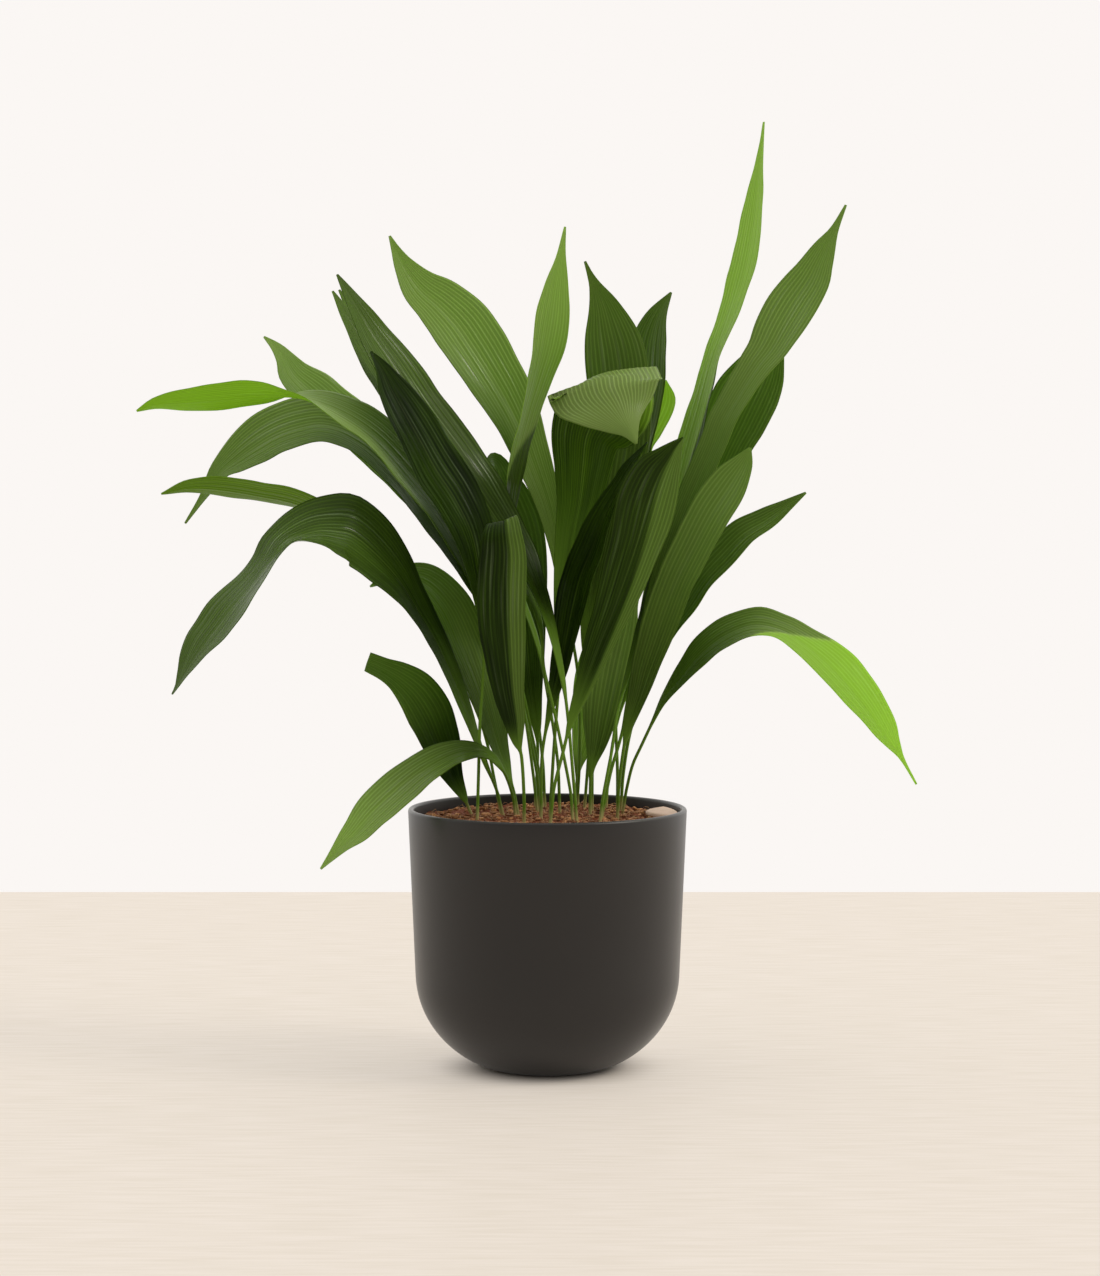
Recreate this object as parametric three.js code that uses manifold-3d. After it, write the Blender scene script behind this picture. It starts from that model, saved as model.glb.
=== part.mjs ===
// Potted cast iron plant (Aspidistra elatior) in a round-bottomed charcoal pot.
// Millimetres, +Z up. The origin is the middle of the pot's flat foot, on the surface it stands on.
// The viewer of the plant's widest side looks along +Y, with +X to the right.

import * as THREE from 'three';
import { mergeVertices } from 'three/addons/utils/BufferGeometryUtils.js';
import Module from 'manifold-3d';

// Pot
const POT_HEIGHT = 205;
const RIM_RADIUS = 110;
const SHOULDER_RADIUS = 104.3; // where the slightly tapered wall runs into the round bottom
const SHOULDER_HEIGHT = 72;
const FOOT_RADIUS = 44; // flat disc that the pot stands on
const WALL = 4.5;
const ROUND_SIDES = 44;
const CORNER_STEPS = 9;
const LIP_STEPS = 5;
const SHOULDER_PULL = 44.5; // handles of the curve from the shoulder down to the foot
const FOOT_PULL = 20;
const FOOT_RISE = 2.6;

// Soil
const SOIL_LEVEL = 196;
const SOIL_GAP = 0.3; // clear of the pot's wall
const SOIL_RELIEF = 1.3; // lumps of coir and bark, up and down from the level
const SOIL_RINGS = 8;

// Bark chip that lies on the soil against the right wall
const CHIP_THICKNESS = 4;
const CHIP_OUTER_RADIUS = 103;
const CHIP_HALF_ANGLE = 0.36;
const CHIP_TURN = 0.08;
const CHIP_INNER_REACH = 78; // how near to the pot's axis its inner edge comes

// Leaves: one grown piece each, a round stalk that opens into a ribbed, pointed blade
const STALK_HALF_WIDTH = 1.3;
const STALK_HALF_DEPTH = 1.2;
const STALK_BURIED = 30;
const STALK_CLEAR_RISE = 8; // straight stretch above the soil
const HOLE_CLEARANCE = 0.4;
const HOLE_EXTRA_LENGTH = 1;
const BLADE_HALF_THICKNESS = 0.42;
const BLADE_EDGE_HALF_THICKNESS = 0.34;
const MIDRIB_RIDGE = 1.3; // how far the midrib stands out of the underside at the blade's foot
const CHANNEL = 0.16; // depth of the midrib under the blade's edges, per half width
const CHANNEL_POWER = 1.5;
const SECTION_STOPS = [-1, -0.5, 0, 0.5, 1]; // across the blade, edge to edge

// One entry a leaf. root: x, y where it leaves the soil. stalk: points up the stalk.
// blade: points midway between its edges, each x, y, z, half the blade's width, and its roll in degrees.
// Roll 0 turns the upper face to the viewer and more turns it to the right.
// A sixth number sets the direction of the blade's width, for a leaf that points at the viewer.
// channel: for a leaf whose edges bend back under its midrib, where the others' edges stand above it.
const LEAVES = [
  { // far left and long, the outer half twisted to show its underside
    root: [-8, 42],
    stalk: [[-12, 42, 231], [-19, 42, 279]],
    blade: [
      [-32, 40, 335, 6, 60], [-55, 32, 391, 20, 60], [-79, 24, 438, 29, 62], [-107, 18, 473, 33, 65],
      [-134, 15, 502, 33, 68], [-164, 14, 521, 30, 70], [-195, 13, 532, 26, 86], [-223, 14, 532, 24, 108],
      [-254, 10, 529, 20, 120], [-285, 6, 526, 15, 122], [-308, 2, 523, 8, 120], [-322, 0, 517, 1, 120],
    ],
  },
  { // behind it, higher
    root: [-2, 76],
    stalk: [[-4, 78, 235], [-11, 84, 284]],
    blade: [
      [-27, 90, 332, 5, 40], [-39, 95, 363, 9, 42], [-66, 102, 406, 16, 46], [-98, 108, 446, 22, 50],
      [-134, 113, 484, 26, 52], [-161, 116, 511, 28, 53], [-179, 119, 526, 28, 53], [-194, 121, 539, 26, 52],
      [-208, 124, 551, 20, 52], [-216, 126, 563, 12, 52], [-223, 127, 572, 7, 52], [-234, 128, 581, 1, 52],
    ],
  },
  { // arched under the first, its tip hanging
    root: [-6, 52],
    stalk: [[-9, 53, 229], [-19, 55, 277]],
    blade: [
      [-34, 56, 334, 4, 55], [-51, 61, 366, 9, 57], [-74, 65, 405, 15, 57], [-99, 67, 443, 20, 56],
      [-117, 68, 468, 23, 55], [-138, 68, 492, 27, 54], [-160, 69, 507, 30, 53], [-182, 70, 513, 31, 52],
      [-202, 70, 510, 32, 50], [-221, 70, 503, 30, 48], [-240, 69, 491, 26, 46], [-255, 68, 479, 19, 46],
      [-265, 66, 470, 13, 48], [-276, 64, 452, 5, 44], [-292, 62, 428, 1, 40],
    ],
  },
  { // low and narrow to the left, underside out
    root: [-37, 34],
    stalk: [[-43, 36, 226], [-48, 38, 251]],
    blade: [
      [-56, 40, 277, 4, 75], [-74, 50, 319, 13, 80], [-98, 56, 366, 20, 88], [-130, 56, 404, 23, 97],
      [-166, 44, 431, 24, 104], [-197, 34, 447, 22, 110], [-231, 31, 454, 20, 114],
      [-260, 27, 458, 17, 116], [-285, 24, 458, 11, 117], [-306, 22, 452, 1, 118],
    ],
  },
  { // the widest arch, over to the front left and down
    root: [-35, 18],
    stalk: [[-40, 16, 216]],
    blade: [
      [-49, 10, 239, 3, 55], [-56, 0, 260, 5, 58], [-65, -8, 287, 9, 60], [-75, -14, 314, 12, 61],
      [-86, -19, 340, 15, 62], [-98, -25, 362, 18, 62], [-112, -36, 387, 24, 56], [-129, -48, 408, 31, 50],
      [-147, -58, 424, 35, 48], [-160, -64, 428, 36, 52], [-174, -69, 429, 35, 57], [-188, -74, 426, 34, 64],
      [-201, -80, 420, 33, 70], [-211, -87, 408, 31, 73], [-223, -95, 391, 30, 69], [-239, -105, 371, 30, 62],
      [-249, -111, 356, 28, 59], [-257, -116, 345, 26, 58], [-265, -121, 332, 19, 60],
      [-272, -126, 318, 9, 62], [-275, -129, 311, 4, 62], [-279, -132, 304, 1, 62],
    ],
  },
  { // short arch behind it
    root: [-23, 16],
    stalk: [[-27, 16, 217]],
    blade: [
      [-34, 16, 239, 8, 55], [-42, 17, 269, 16, 55], [-52, 21, 303, 23, 55], [-64, 23, 336, 28, 55],
      [-77, 20, 364, 28, 57], [-95, 18, 383, 24, 60], [-114, 14, 388, 17, 62], [-128, 10, 385, 9, 62],
      [-140, 8, 379, 1, 62],
    ],
  },
  { // long and dark, leaning left
    root: [23, -36],
    stalk: [[21, -36, 221], [16, -34, 278]],
    blade: [
      [12, -31, 308, 3, 50], [4, -26, 345, 6, 55], [-6, -16, 376, 11, 58], [-20, -4, 407, 17, 54],
      [-39, 4, 436, 23, 50], [-59, 10, 466, 26, 48], [-80, 14, 495, 26, 46], [-101, 16, 524, 25, 46],
      [-120, 18, 554, 22, 46], [-138, 20, 580, 16, 46], [-152, 21, 603, 9, 46], [-166, 22, 625, 1, 46],
    ],
  },
  { // close behind it
    root: [20, -24],
    stalk: [[18, -22, 220], [7, -20, 275], [1, -16, 300], [-3, -8, 317]],
    blade: [
      [-5, 2, 345, 3, 60], [-14, 12, 376, 8, 60], [-34, 23, 411, 16, 55], [-59, 31, 451, 22, 52],
      [-87, 36, 491, 24, 50], [-115, 42, 528, 22, 50], [-139, 50, 561, 17, 50], [-157, 53, 589, 9, 50],
      [-172, 55, 614, 1, 50],
    ],
  },
  { // and the third of that stack
    root: [10, 30],
    stalk: [[8, 30, 240], [1, 36, 287]],
    blade: [
      [-9, 50, 335, 3, 50], [-26, 68, 379, 5, 50], [-46, 76, 419, 14, 48], [-69, 80, 459, 20, 46],
      [-93, 84, 497, 23, 45], [-116, 86, 531, 21, 45], [-137, 87, 566, 15, 45], [-155, 87, 594, 8, 45],
      [-169, 87, 617, 1, 45],
    ],
  },
  { // in front of the stack, from the left of the clump
    root: [-55, -20],
    stalk: [[-54, -16, 232], [-53, -12, 271], [-51, -10, 300]],
    blade: [
      [-49, -12, 336, 3, 45], [-50, -16, 368, 9, 45], [-52, -26, 397, 16, 45], [-57, -32, 424, 22, 45],
      [-69, -37, 450, 26, 47], [-83, -42, 472, 27, 48], [-95, -46, 494, 25, 48], [-106, -50, 513, 22, 47],
      [-118, -53, 533, 16, 45], [-126, -55, 548, 8, 45], [-135, -58, 561, 1, 45],
    ],
  },
  { // front of the clump, its tip bent over backwards
    root: [-18, -44],
    stalk: [[-18, -46, 216], [-20, -50, 250]],
    blade: [
      [-23, -52, 261, 4, -12], [-26, -55, 279, 9, -15], [-30, -58, 302, 13, -18], [-33, -61, 329, 17, -20],
      [-35, -64, 356, 19.5, -20], [-35, -68, 383, 20, -20], [-34, -71, 406, 19, -20],
      [-35, -70, 423, 16, -20, 0], [-35, -60, 433, 12, -18, 0], [-34, -46, 430, 7, -15, 0],
      [-34, -34, 422, 1, -10, 0],
    ],
  },
  { // broad pale leaf, leaning back to the left
    root: [24, 74],
    stalk: [[26, 73, 236], [26, 72, 281], [24, 71, 311]],
    blade: [
      [18, 70, 346, 3, 30], [13, 71, 376, 5, 30], [8, 73, 410, 8, 30], [1, 76, 443, 12, 28],
      [-11, 79, 478, 16, 28], [-23, 82, 510, 21, 28], [-36, 86, 536, 25, 28], [-48, 89, 556, 27, 28],
      [-60, 92, 575, 28.5, 28], [-72, 95, 592, 28, 28], [-87, 98, 607, 24, 28], [-103, 101, 620, 18, 26],
      [-117, 104, 638, 9, 24], [-124, 106, 651, 4, 22], [-129, 107, 662, 1, 20],
    ],
  },
  { // upright in the middle, in front of the pale leaf
    root: [-4, 68],
    stalk: [[-8, 67, 233], [-16, 66, 273]],
    blade: [
      [-25, 63, 318, 3, 62], [-31, 57, 367, 5, 64], [-33, 55, 407, 9, 66], [-29, 54, 447, 14, 69],
      [-23, 52, 481, 19, 70], [-14, 50, 515, 22, 72], [-7, 48, 539, 23.5, 68], [0, 46, 565, 24, 60],
      [4, 44, 590, 22, 52], [7, 43, 616, 15, 50], [11, 42, 642, 5.5, 50], [14, 41, 664, 1, 50],
    ],
  },
  { // short, at the back of the middle
    root: [-10, 79],
    stalk: [[-8, 74, 242]],
    blade: [
      [-9, 75, 264, 4, 5], [-13, 78, 293, 9, 5], [-16, 81, 325, 14, 5], [-19, 86, 357, 18, 5],
      [-22, 90, 390, 22, 5], [-27, 95, 420, 24, 5], [-35, 100, 443, 23, 4], [-42, 104, 460, 19, 2],
      [-45, 109, 471, 15, 0], [-47, 120, 475, 10, 0], [-48, 134, 471, 1, 0],
    ],
  },
  { // upright, right of the middle
    root: [36, 58],
    stalk: [[36, 59, 237], [34, 60, 286]],
    blade: [
      [31, 62, 334, 4, -10], [37, 64, 382, 10, -12], [45, 66, 431, 18, -14], [54, 66, 471, 24, -15],
      [58, 65, 503, 26, -16], [57, 64, 539, 26, -16], [54, 63, 565, 25, -15], [50, 62, 583, 21, -15],
      [45, 62, 602, 13, -15], [38, 61, 619, 5, -15], [34, 61, 628, 2.5, -15], [30, 60, 638, 1, -15],
    ],
  },
  { // behind it, turned away to the right
    root: [30, 70],
    stalk: [[33, 71, 236], [36, 73, 285]],
    blade: [
      [38, 76, 325, 3, -40], [40, 80, 366, 8, -40], [47, 84, 406, 14, -42], [57, 88, 447, 19, -43],
      [66, 92, 483, 22, -44], [74, 95, 516, 23, -45], [79, 98, 546, 23, -45], [82, 101, 576, 20, -45],
      [89, 103, 597, 11, -42], [101, 105, 616, 1, -40],
    ],
  },
  { // curled over to the front at the top, the flap hanging to the right
    root: [2, 6],
    channel: -0.2,
    stalk: [[3, 5, 217], [5, 5, 250], [8, 6, 290]],
    blade: [
      [11, 8, 329, 4, 0, 180], [12, 10, 360, 7, 0, 180], [16, 12, 395, 11, 0, 180], [20, 14, 422, 14, 0, 180],
      [25, 16, 447, 18, 0, 180], [28, 18, 474, 23, 0, 180], [31, 18, 497, 29, 0, 182],
      [41, 12, 516, 40, 0, 188], [44, 3, 537, 46, 0, 213], [47, -6, 529, 44, 0, 190], [53, -13, 517, 33, 0, 172],
      [59, -19, 508, 18, 0, 174], [64, -23, 501, 8, 0, 180], [69, -27, 491, 1, 0, 185],
    ],
  },
  { // furthest back on the right
    root: [56, 30],
    stalk: [[56, 36, 231], [55, 46, 262], [55, 53, 286]],
    blade: [
      [57, 64, 326, 4, -30], [61, 78, 372, 7, -30], [66, 89, 415, 9, -30], [70, 98, 451, 10, -28],
      [76, 106, 489, 11, -28], [83, 111, 504, 12.5, -28], [94, 115, 529, 12.5, -28], [97, 118, 545, 1, -20],
    ],
  },
  { // the tallest, narrow, its face turned far to the left
    root: [41, -30],
    stalk: [[43, -28, 214], [47, -24, 235], [51, -16, 255], [54, -4, 275]],
    blade: [
      [61, 14, 301, 3, -60], [76, 38, 351, 7, -60], [90, 54, 403, 12, -60], [103, 67, 447, 17, -62],
      [114, 76, 491, 20, -64], [124, 82, 529, 20, -70], [133, 86, 562, 19, -73], [147, 89, 599, 18, -66],
      [158, 90, 635, 17, -57], [165, 95, 672, 15, -58], [170, 99, 707, 8.5, -58],
      [174, 102, 735, 3, -58], [176, 104, 754, 1, -58],
    ],
  },
  { // the big leaf on the right
    root: [42, -16],
    stalk: [[45, -14, 212], [50, -8, 235], [56, 0, 254]],
    blade: [
      [65, 6, 286, 4, -32], [75, 12, 325, 7, -34], [84, 18, 362, 9, -35], [94, 23, 398, 10.5, -36],
      [105, 27, 431, 11.5, -37], [115, 30, 455, 12.5, -37], [131, 36, 490, 13, -38], [139, 39, 511, 13.5, -38],
      [156, 42, 540, 14.5, -38], [167, 44, 557, 16.5, -38], [176, 46, 569, 19.5, -38], [187, 50, 589, 23, -38],
      [198, 54, 607, 23.5, -38], [209, 56, 623, 20.5, -37], [216, 58, 637, 15, -37],
      [223, 59, 651, 9.5, -36], [230, 60, 664, 4, -35], [239, 61, 683, 1, -35],
    ],
  },
  { // behind the big leaf
    root: [47, 60],
    stalk: [[49, 62, 220], [54, 64, 257]],
    blade: [
      [64, 68, 293, 3, -30], [79, 74, 337, 8, -30], [95, 80, 382, 13, -30], [112, 85, 422, 18, -30],
      [129, 90, 459, 22, -28], [144, 93, 493, 25, -28], [152, 95, 511, 28.5, -28], [162, 97, 532, 29, -28],
      [170, 99, 546, 25.5, -28], [177, 101, 559, 19.5, -28], [184, 102, 571, 11, -25], [190, 103, 581, 1, -22],
    ],
  },
  { // in front of the big leaf
    root: [55, -6],
    stalk: [[56, -8, 220], [59, -10, 247]],
    blade: [
      [63, -12, 269, 4, -25], [70, -15, 293, 8, -28], [76, -18, 316, 12, -30], [83, -20, 338, 14.5, -31],
      [91, -22, 362, 16.5, -32], [100, -24, 386, 17, -33], [112, -26, 411, 18, -34],
      [126, -28, 438, 19, -34], [141, -30, 461, 17, -34], [151, -31, 476, 10, -32], [157, -32, 488, 1, -30],
    ],
  },
  { // low on the right, behind
    root: [59, 52],
    stalk: [[61, 50, 226], [66, 48, 258]],
    blade: [
      [75, 46, 291, 3, -38], [84, 45, 318, 6.5, -40], [96, 44, 344, 10.5, -42], [110, 43, 366, 13.5, -43],
      [123, 42, 387, 15.5, -44], [139, 41, 405, 17, -45], [155, 40, 421, 15.5, -46], [174, 39, 432, 12, -46],
      [191, 38, 443, 6.5, -45], [206, 37, 453, 1, -45],
    ],
  },
  { // long arch to the right
    root: [60, 34],
    stalk: [[63, 32, 215], [68, 29, 236], [75, 26, 252]],
    blade: [
      [84, 21, 272, 2, -60], [92, 16, 289, 5, -58], [106, 9, 310, 11, -56], [120, 2, 328, 16, -57],
      [138, -6, 343, 20, -60], [160, -15, 352, 20.5, -60], [181, -24, 349, 18, -59], [200, -32, 339, 20, -56],
      [218, -40, 325, 24.5, -53], [234, -46, 308, 25, -52], [248, -52, 290, 22, -52],
      [259, -57, 272, 16.5, -52], [266, -60, 260, 9, -52], [272, -63, 250, 3, -52], [283, -66, 230, 1, -52],
    ],
  },
  { // dark leaf at the front, right of the middle
    root: [2, -50],
    stalk: [[5, -50, 225], [12, -50, 253]],
    blade: [
      [18, -51, 277, 3, -20], [27, -54, 302, 7, -22], [38, -58, 333, 12, -25], [49, -62, 362, 16, -27],
      [59, -67, 391, 20, -28], [67, -71, 416, 22.5, -28], [73, -75, 438, 25, -27], [78, -78, 454, 24, -26],
      [84, -81, 468, 20.5, -26], [91, -83, 479, 13, -25], [97, -85, 488, 6, -22], [103, -86, 495, 1, -20],
    ],
  },
  { // beside it, seen nearly edge-on
    root: [-5, -10],
    stalk: [[-5, -9, 219], [-4, -7, 249]],
    blade: [
      [1, -6, 278, 3, -40], [7, -5, 305, 8, -45], [13, -7, 338, 14, -50], [17, -10, 361, 18, -52],
      [23, -14, 387, 20, -54], [32, -19, 410, 20, -56], [41, -25, 434, 18, -62], [52, -31, 455, 15, -68],
      [64, -36, 475, 10, -70], [77, -40, 492, 1, -70],
    ],
  },
  { // low on the left, its end torn off
    root: [-60, 20],
    stalk: [],
    blade: [
      [-66, 20, 210, 3, 30], [-73, 20, 224, 8, 35], [-80, 19, 242, 15, 38], [-86, 18, 260, 20, 40],
      [-93, 16, 278, 23, 42], [-103, 13, 294, 22, 44], [-116, 10, 306, 17, 46], [-129, 7, 314, 12, 46],
      [-142, 5, 320, 10, 46],
    ],
  },
  { // lowest arch, over the rim to the front left
    root: [-25, 6],
    stalk: [[-27, 2, 212], [-32, -6, 229]],
    blade: [
      [-39, -15, 242, 4, 55], [-47, -23, 250, 6, 56], [-58, -30, 254, 10, 58], [-70, -35, 253, 15, 58],
      [-85, -39, 247, 19, 57], [-102, -45, 237, 22, 56], [-119, -51, 223, 23, 54], [-135, -56, 208, 21, 52],
      [-148, -61, 193, 15, 50], [-159, -65, 182, 8, 50], [-174, -68, 165, 1, 50],
    ],
  },
  { // short leaf at the back
    root: [25, 92],
    stalk: [[24, 94, 209]],
    blade: [
      [25, 96, 227, 3, 0], [29, 97, 246, 9, 0], [35, 98, 270, 15, 0], [41, 99, 299, 19, 0],
      [48, 100, 328, 17, 0], [54, 101, 355, 10, 0], [58, 102, 373, 1, 0],
    ],
  },
  { // short leaf right of the middle
    root: [34, 20],
    stalk: [[34, 21, 213]],
    blade: [
      [35, 24, 234, 3, 0], [39, 29, 254, 9, -5], [42, 34, 275, 14, -8], [46, 40, 299, 17, -10],
      [51, 48, 323, 18, -12], [57, 54, 344, 16, -14], [64, 60, 362, 10, -15], [75, 64, 376, 1, -15],
    ],
  },
];

const potFinish = new THREE.MeshStandardMaterial({ color: '#34302d', roughness: 0.62, metalness: 0 });
const soilFinish = new THREE.MeshStandardMaterial({ color: '#71401f', roughness: 0.95, metalness: 0 });
const barkFinish = new THREE.MeshStandardMaterial({ color: '#c9a78c', roughness: 0.8, metalness: 0 });
const leafFinish = new THREE.MeshStandardMaterial({ color: '#2c4a18', roughness: 0.42, metalness: 0 });

const wasm = await Module();
wasm.setup();

function toSolid(geometry) {
  const bare = geometry.clone();
  bare.deleteAttribute('normal');
  bare.deleteAttribute('uv');
  const merged = mergeVertices(bare, 1e-4);
  return new wasm.Manifold(new wasm.Mesh({
    numProp: 3,
    vertProperties: new Float32Array(merged.attributes.position.array),
    triVerts: new Uint32Array(merged.index.array),
  }));
}

function toGeometry(solid) {
  const mesh = solid.getMesh();
  const geometry = new THREE.BufferGeometry();
  geometry.setAttribute('position', new THREE.BufferAttribute(mesh.vertProperties, 3));
  geometry.setIndex(new THREE.BufferAttribute(mesh.triVerts, 1));
  geometry.computeVertexNormals();
  return geometry;
}

// Points of the pot's profile from the wall's top at the given height down to the axis, set in by inset.
function potProfile(inset, topHeight, steps) {
  const taper = Math.atan2(RIM_RADIUS - SHOULDER_RADIUS, POT_HEIGHT - SHOULDER_HEIGHT);
  const shoulder = new THREE.Vector2(SHOULDER_RADIUS, SHOULDER_HEIGHT);
  const corner = new THREE.CubicBezierCurve(
    shoulder,
    new THREE.Vector2(
      shoulder.x - SHOULDER_PULL * Math.sin(taper),
      shoulder.y - SHOULDER_PULL * Math.cos(taper),
    ),
    new THREE.Vector2(FOOT_RADIUS + FOOT_PULL, FOOT_RISE),
    new THREE.Vector2(FOOT_RADIUS, 0),
  );
  const topRadius = SHOULDER_RADIUS + (topHeight - SHOULDER_HEIGHT) * Math.tan(taper);
  const points = [new THREE.Vector2(topRadius - inset / Math.cos(taper), topHeight)];
  for (let i = 0; i <= steps; i += 1) {
    const at = i / steps;
    const along = corner.getTangent(at);
    const point = corner.getPoint(at);
    points.push(new THREE.Vector2(point.x + along.y * inset, point.y - along.x * inset));
  }
  const foot = points[points.length - 1];
  foot.y = inset;
  points.push(new THREE.Vector2(0, inset));
  return points;
}

function potGeometry() {
  const lipRadius = WALL / 2;
  const outer = potProfile(0, POT_HEIGHT - lipRadius, CORNER_STEPS);
  const inner = potProfile(WALL, POT_HEIGHT - lipRadius, CORNER_STEPS);
  const lip = [];
  const middle = (outer[0].x + inner[0].x) / 2;
  for (let i = 1; i < LIP_STEPS; i += 1) {
    const turn = (Math.PI * i) / LIP_STEPS;
    lip.push(new THREE.Vector2(
      middle + (outer[0].x - middle) * Math.cos(turn),
      POT_HEIGHT - lipRadius + lipRadius * Math.sin(turn),
    ));
  }
  const profile = [...outer.reverse(), ...lip, ...inner];
  const geometry = new THREE.LatheGeometry(profile, ROUND_SIDES);
  geometry.rotateX(Math.PI / 2);
  return geometry;
}

// Height of the soil at a place: lumps from crossing waves.
function soilHeight(x, y) {
  const lumps = Math.sin(x * 0.31 + y * 0.17) * Math.sin(y * 0.37 - x * 0.11)
    + 0.6 * Math.sin(x * 0.83 - y * 0.52 + 1.3) * Math.sin(y * 0.71 + x * 0.44);
  return SOIL_LEVEL + SOIL_RELIEF * lumps / 1.6;
}

// A corner of a level ring, in line with the corners of the pot's wall.
function ringPoint(radius, side, height) {
  const turn = (2 * Math.PI * side) / ROUND_SIDES;
  return [radius * Math.sin(turn), -radius * Math.cos(turn), height];
}

function soilGeometry() {
  const wall = potProfile(WALL + SOIL_GAP, SOIL_LEVEL, CORNER_STEPS).slice(0, -1);
  const rings = wall.reverse().map((point) => ({ radius: point.x, height: point.y }));
  const edge = rings[rings.length - 1].radius;
  for (let i = 1; i < SOIL_RINGS; i += 1) {
    rings.push({ radius: edge * (1 - i / SOIL_RINGS), height: null });
  }
  const positions = [0, 0, rings[0].height];
  rings.forEach((ring) => {
    for (let side = 0; side < ROUND_SIDES; side += 1) {
      const point = ringPoint(ring.radius, side, ring.height);
      if (ring.height === null) {
        point[2] = soilHeight(point[0], point[1]);
      }
      positions.push(...point);
    }
  });
  const top = positions.length / 3;
  positions.push(0, 0, SOIL_LEVEL);
  const index = [];
  const at = (ring, side) => 1 + ring * ROUND_SIDES + (side % ROUND_SIDES);
  for (let side = 0; side < ROUND_SIDES; side += 1) {
    index.push(0, at(0, side + 1), at(0, side));
    index.push(top, at(rings.length - 1, side), at(rings.length - 1, side + 1));
    for (let ring = 0; ring < rings.length - 1; ring += 1) {
      index.push(at(ring, side), at(ring, side + 1), at(ring + 1, side + 1));
      index.push(at(ring, side), at(ring + 1, side + 1), at(ring + 1, side));
    }
  }
  const geometry = new THREE.BufferGeometry();
  geometry.setAttribute('position', new THREE.Float32BufferAttribute(positions, 3));
  geometry.setIndex(index);
  return geometry;
}

function chipGeometry() {
  const outline = new THREE.Shape();
  outline.absarc(0, 0, CHIP_OUTER_RADIUS, -CHIP_HALF_ANGLE, CHIP_HALF_ANGLE, false);
  const pull = 2 * CHIP_INNER_REACH - CHIP_OUTER_RADIUS * Math.cos(CHIP_HALF_ANGLE);
  outline.quadraticCurveTo(
    pull,
    0,
    CHIP_OUTER_RADIUS * Math.cos(CHIP_HALF_ANGLE),
    -CHIP_OUTER_RADIUS * Math.sin(CHIP_HALF_ANGLE),
  );
  const geometry = new THREE.ExtrudeGeometry(outline, {
    depth: CHIP_THICKNESS,
    bevelEnabled: false,
    curveSegments: 10,
  });
  geometry.rotateZ(CHIP_TURN);
  return geometry;
}

// Unit vectors across the blade and out of its upper face, square to the way the midrib runs.
function bladeFrame(along, rollDegrees, headingDegrees) {
  const depth = new THREE.Vector3(0, 1, 0);
  const level = headingDegrees === undefined
    ? new THREE.Vector3().crossVectors(depth, along).normalize()
    : new THREE.Vector3(
      Math.cos(THREE.MathUtils.degToRad(headingDegrees)),
      0,
      Math.sin(THREE.MathUtils.degToRad(headingDegrees)),
    );
  level.addScaledVector(along, -level.dot(along)).normalize();
  const turned = new THREE.Vector3().crossVectors(along, level);
  const roll = THREE.MathUtils.degToRad(rollDegrees);
  const across = level.multiplyScalar(Math.cos(roll)).addScaledVector(turned, Math.sin(roll));
  const outward = new THREE.Vector3().crossVectors(across, along);
  return { across, outward };
}

// Stations from the buried end of the stalk to the leaf's tip.
function leafStations(leaf) {
  const root = new THREE.Vector3(leaf.root[0], leaf.root[1], SOIL_LEVEL);
  const rows = [...leaf.stalk.map((point) => [...point, 0, leaf.blade[0][4], leaf.blade[0][5]]), ...leaf.blade];
  const rise = new THREE.Vector3(...rows[0]).sub(root).normalize();
  const buried = root.clone().addScaledVector(rise, -STALK_BURIED);
  const clear = root.clone().addScaledVector(rise, STALK_CLEAR_RISE);
  const points = [buried, clear, ...rows.map((row) => new THREE.Vector3(...row))];
  const widest = Math.max(...leaf.blade.map((row) => row[3]));
  const widestAt = rows.findIndex((row) => row[3] === widest) + 2;
  return points.map((point, i) => {
    const row = rows[Math.max(0, i - 2)];
    const before = points[Math.max(0, i - 1)];
    const after = points[Math.min(points.length - 1, i + 1)];
    const along = i < 2 ? rise.clone() : after.clone().sub(before).normalize();
    const halfWidth = Math.max(i < 2 ? 0 : row[3], i < widestAt ? STALK_HALF_WIDTH : 0);
    const bladeShare = i < widestAt
      ? THREE.MathUtils.smoothstep(halfWidth, STALK_HALF_WIDTH, 0.45 * widest)
      : 1;
    const ridgeShare = i < widestAt ? 1 : halfWidth / widest;
    const channel = leaf.channel ?? CHANNEL;
    return { point, along, halfWidth, channel, bladeShare, ridgeShare, ...bladeFrame(along, row[4], row[5]) };
  });
}

// The closed section at one station: over the upper face from edge to edge, then back under it.
function sectionPoints(station, extra) {
  const { point, across, outward, halfWidth, channel, bladeShare, ridgeShare } = station;
  const side = (stop, sign) => {
    const stalk = STALK_HALF_DEPTH * Math.sqrt(1 - 0.9 * stop * stop);
    const flat = THREE.MathUtils.lerp(BLADE_HALF_THICKNESS, BLADE_EDGE_HALF_THICKNESS, Math.abs(stop));
    const ridge = stop === 0 && sign < 0 ? MIDRIB_RIDGE * ridgeShare : 0;
    const half = THREE.MathUtils.lerp(stalk, flat + ridge, bladeShare) + extra;
    const lift = bladeShare * channel * halfWidth * (Math.abs(stop) ** CHANNEL_POWER - 1);
    return point.clone()
      .addScaledVector(across, stop * (halfWidth + extra))
      .addScaledVector(outward, lift + sign * half);
  };
  const upper = SECTION_STOPS.map((stop) => side(stop, 1));
  const under = SECTION_STOPS.map((stop) => side(stop, -1)).reverse();
  return [...upper, ...under];
}

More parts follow.
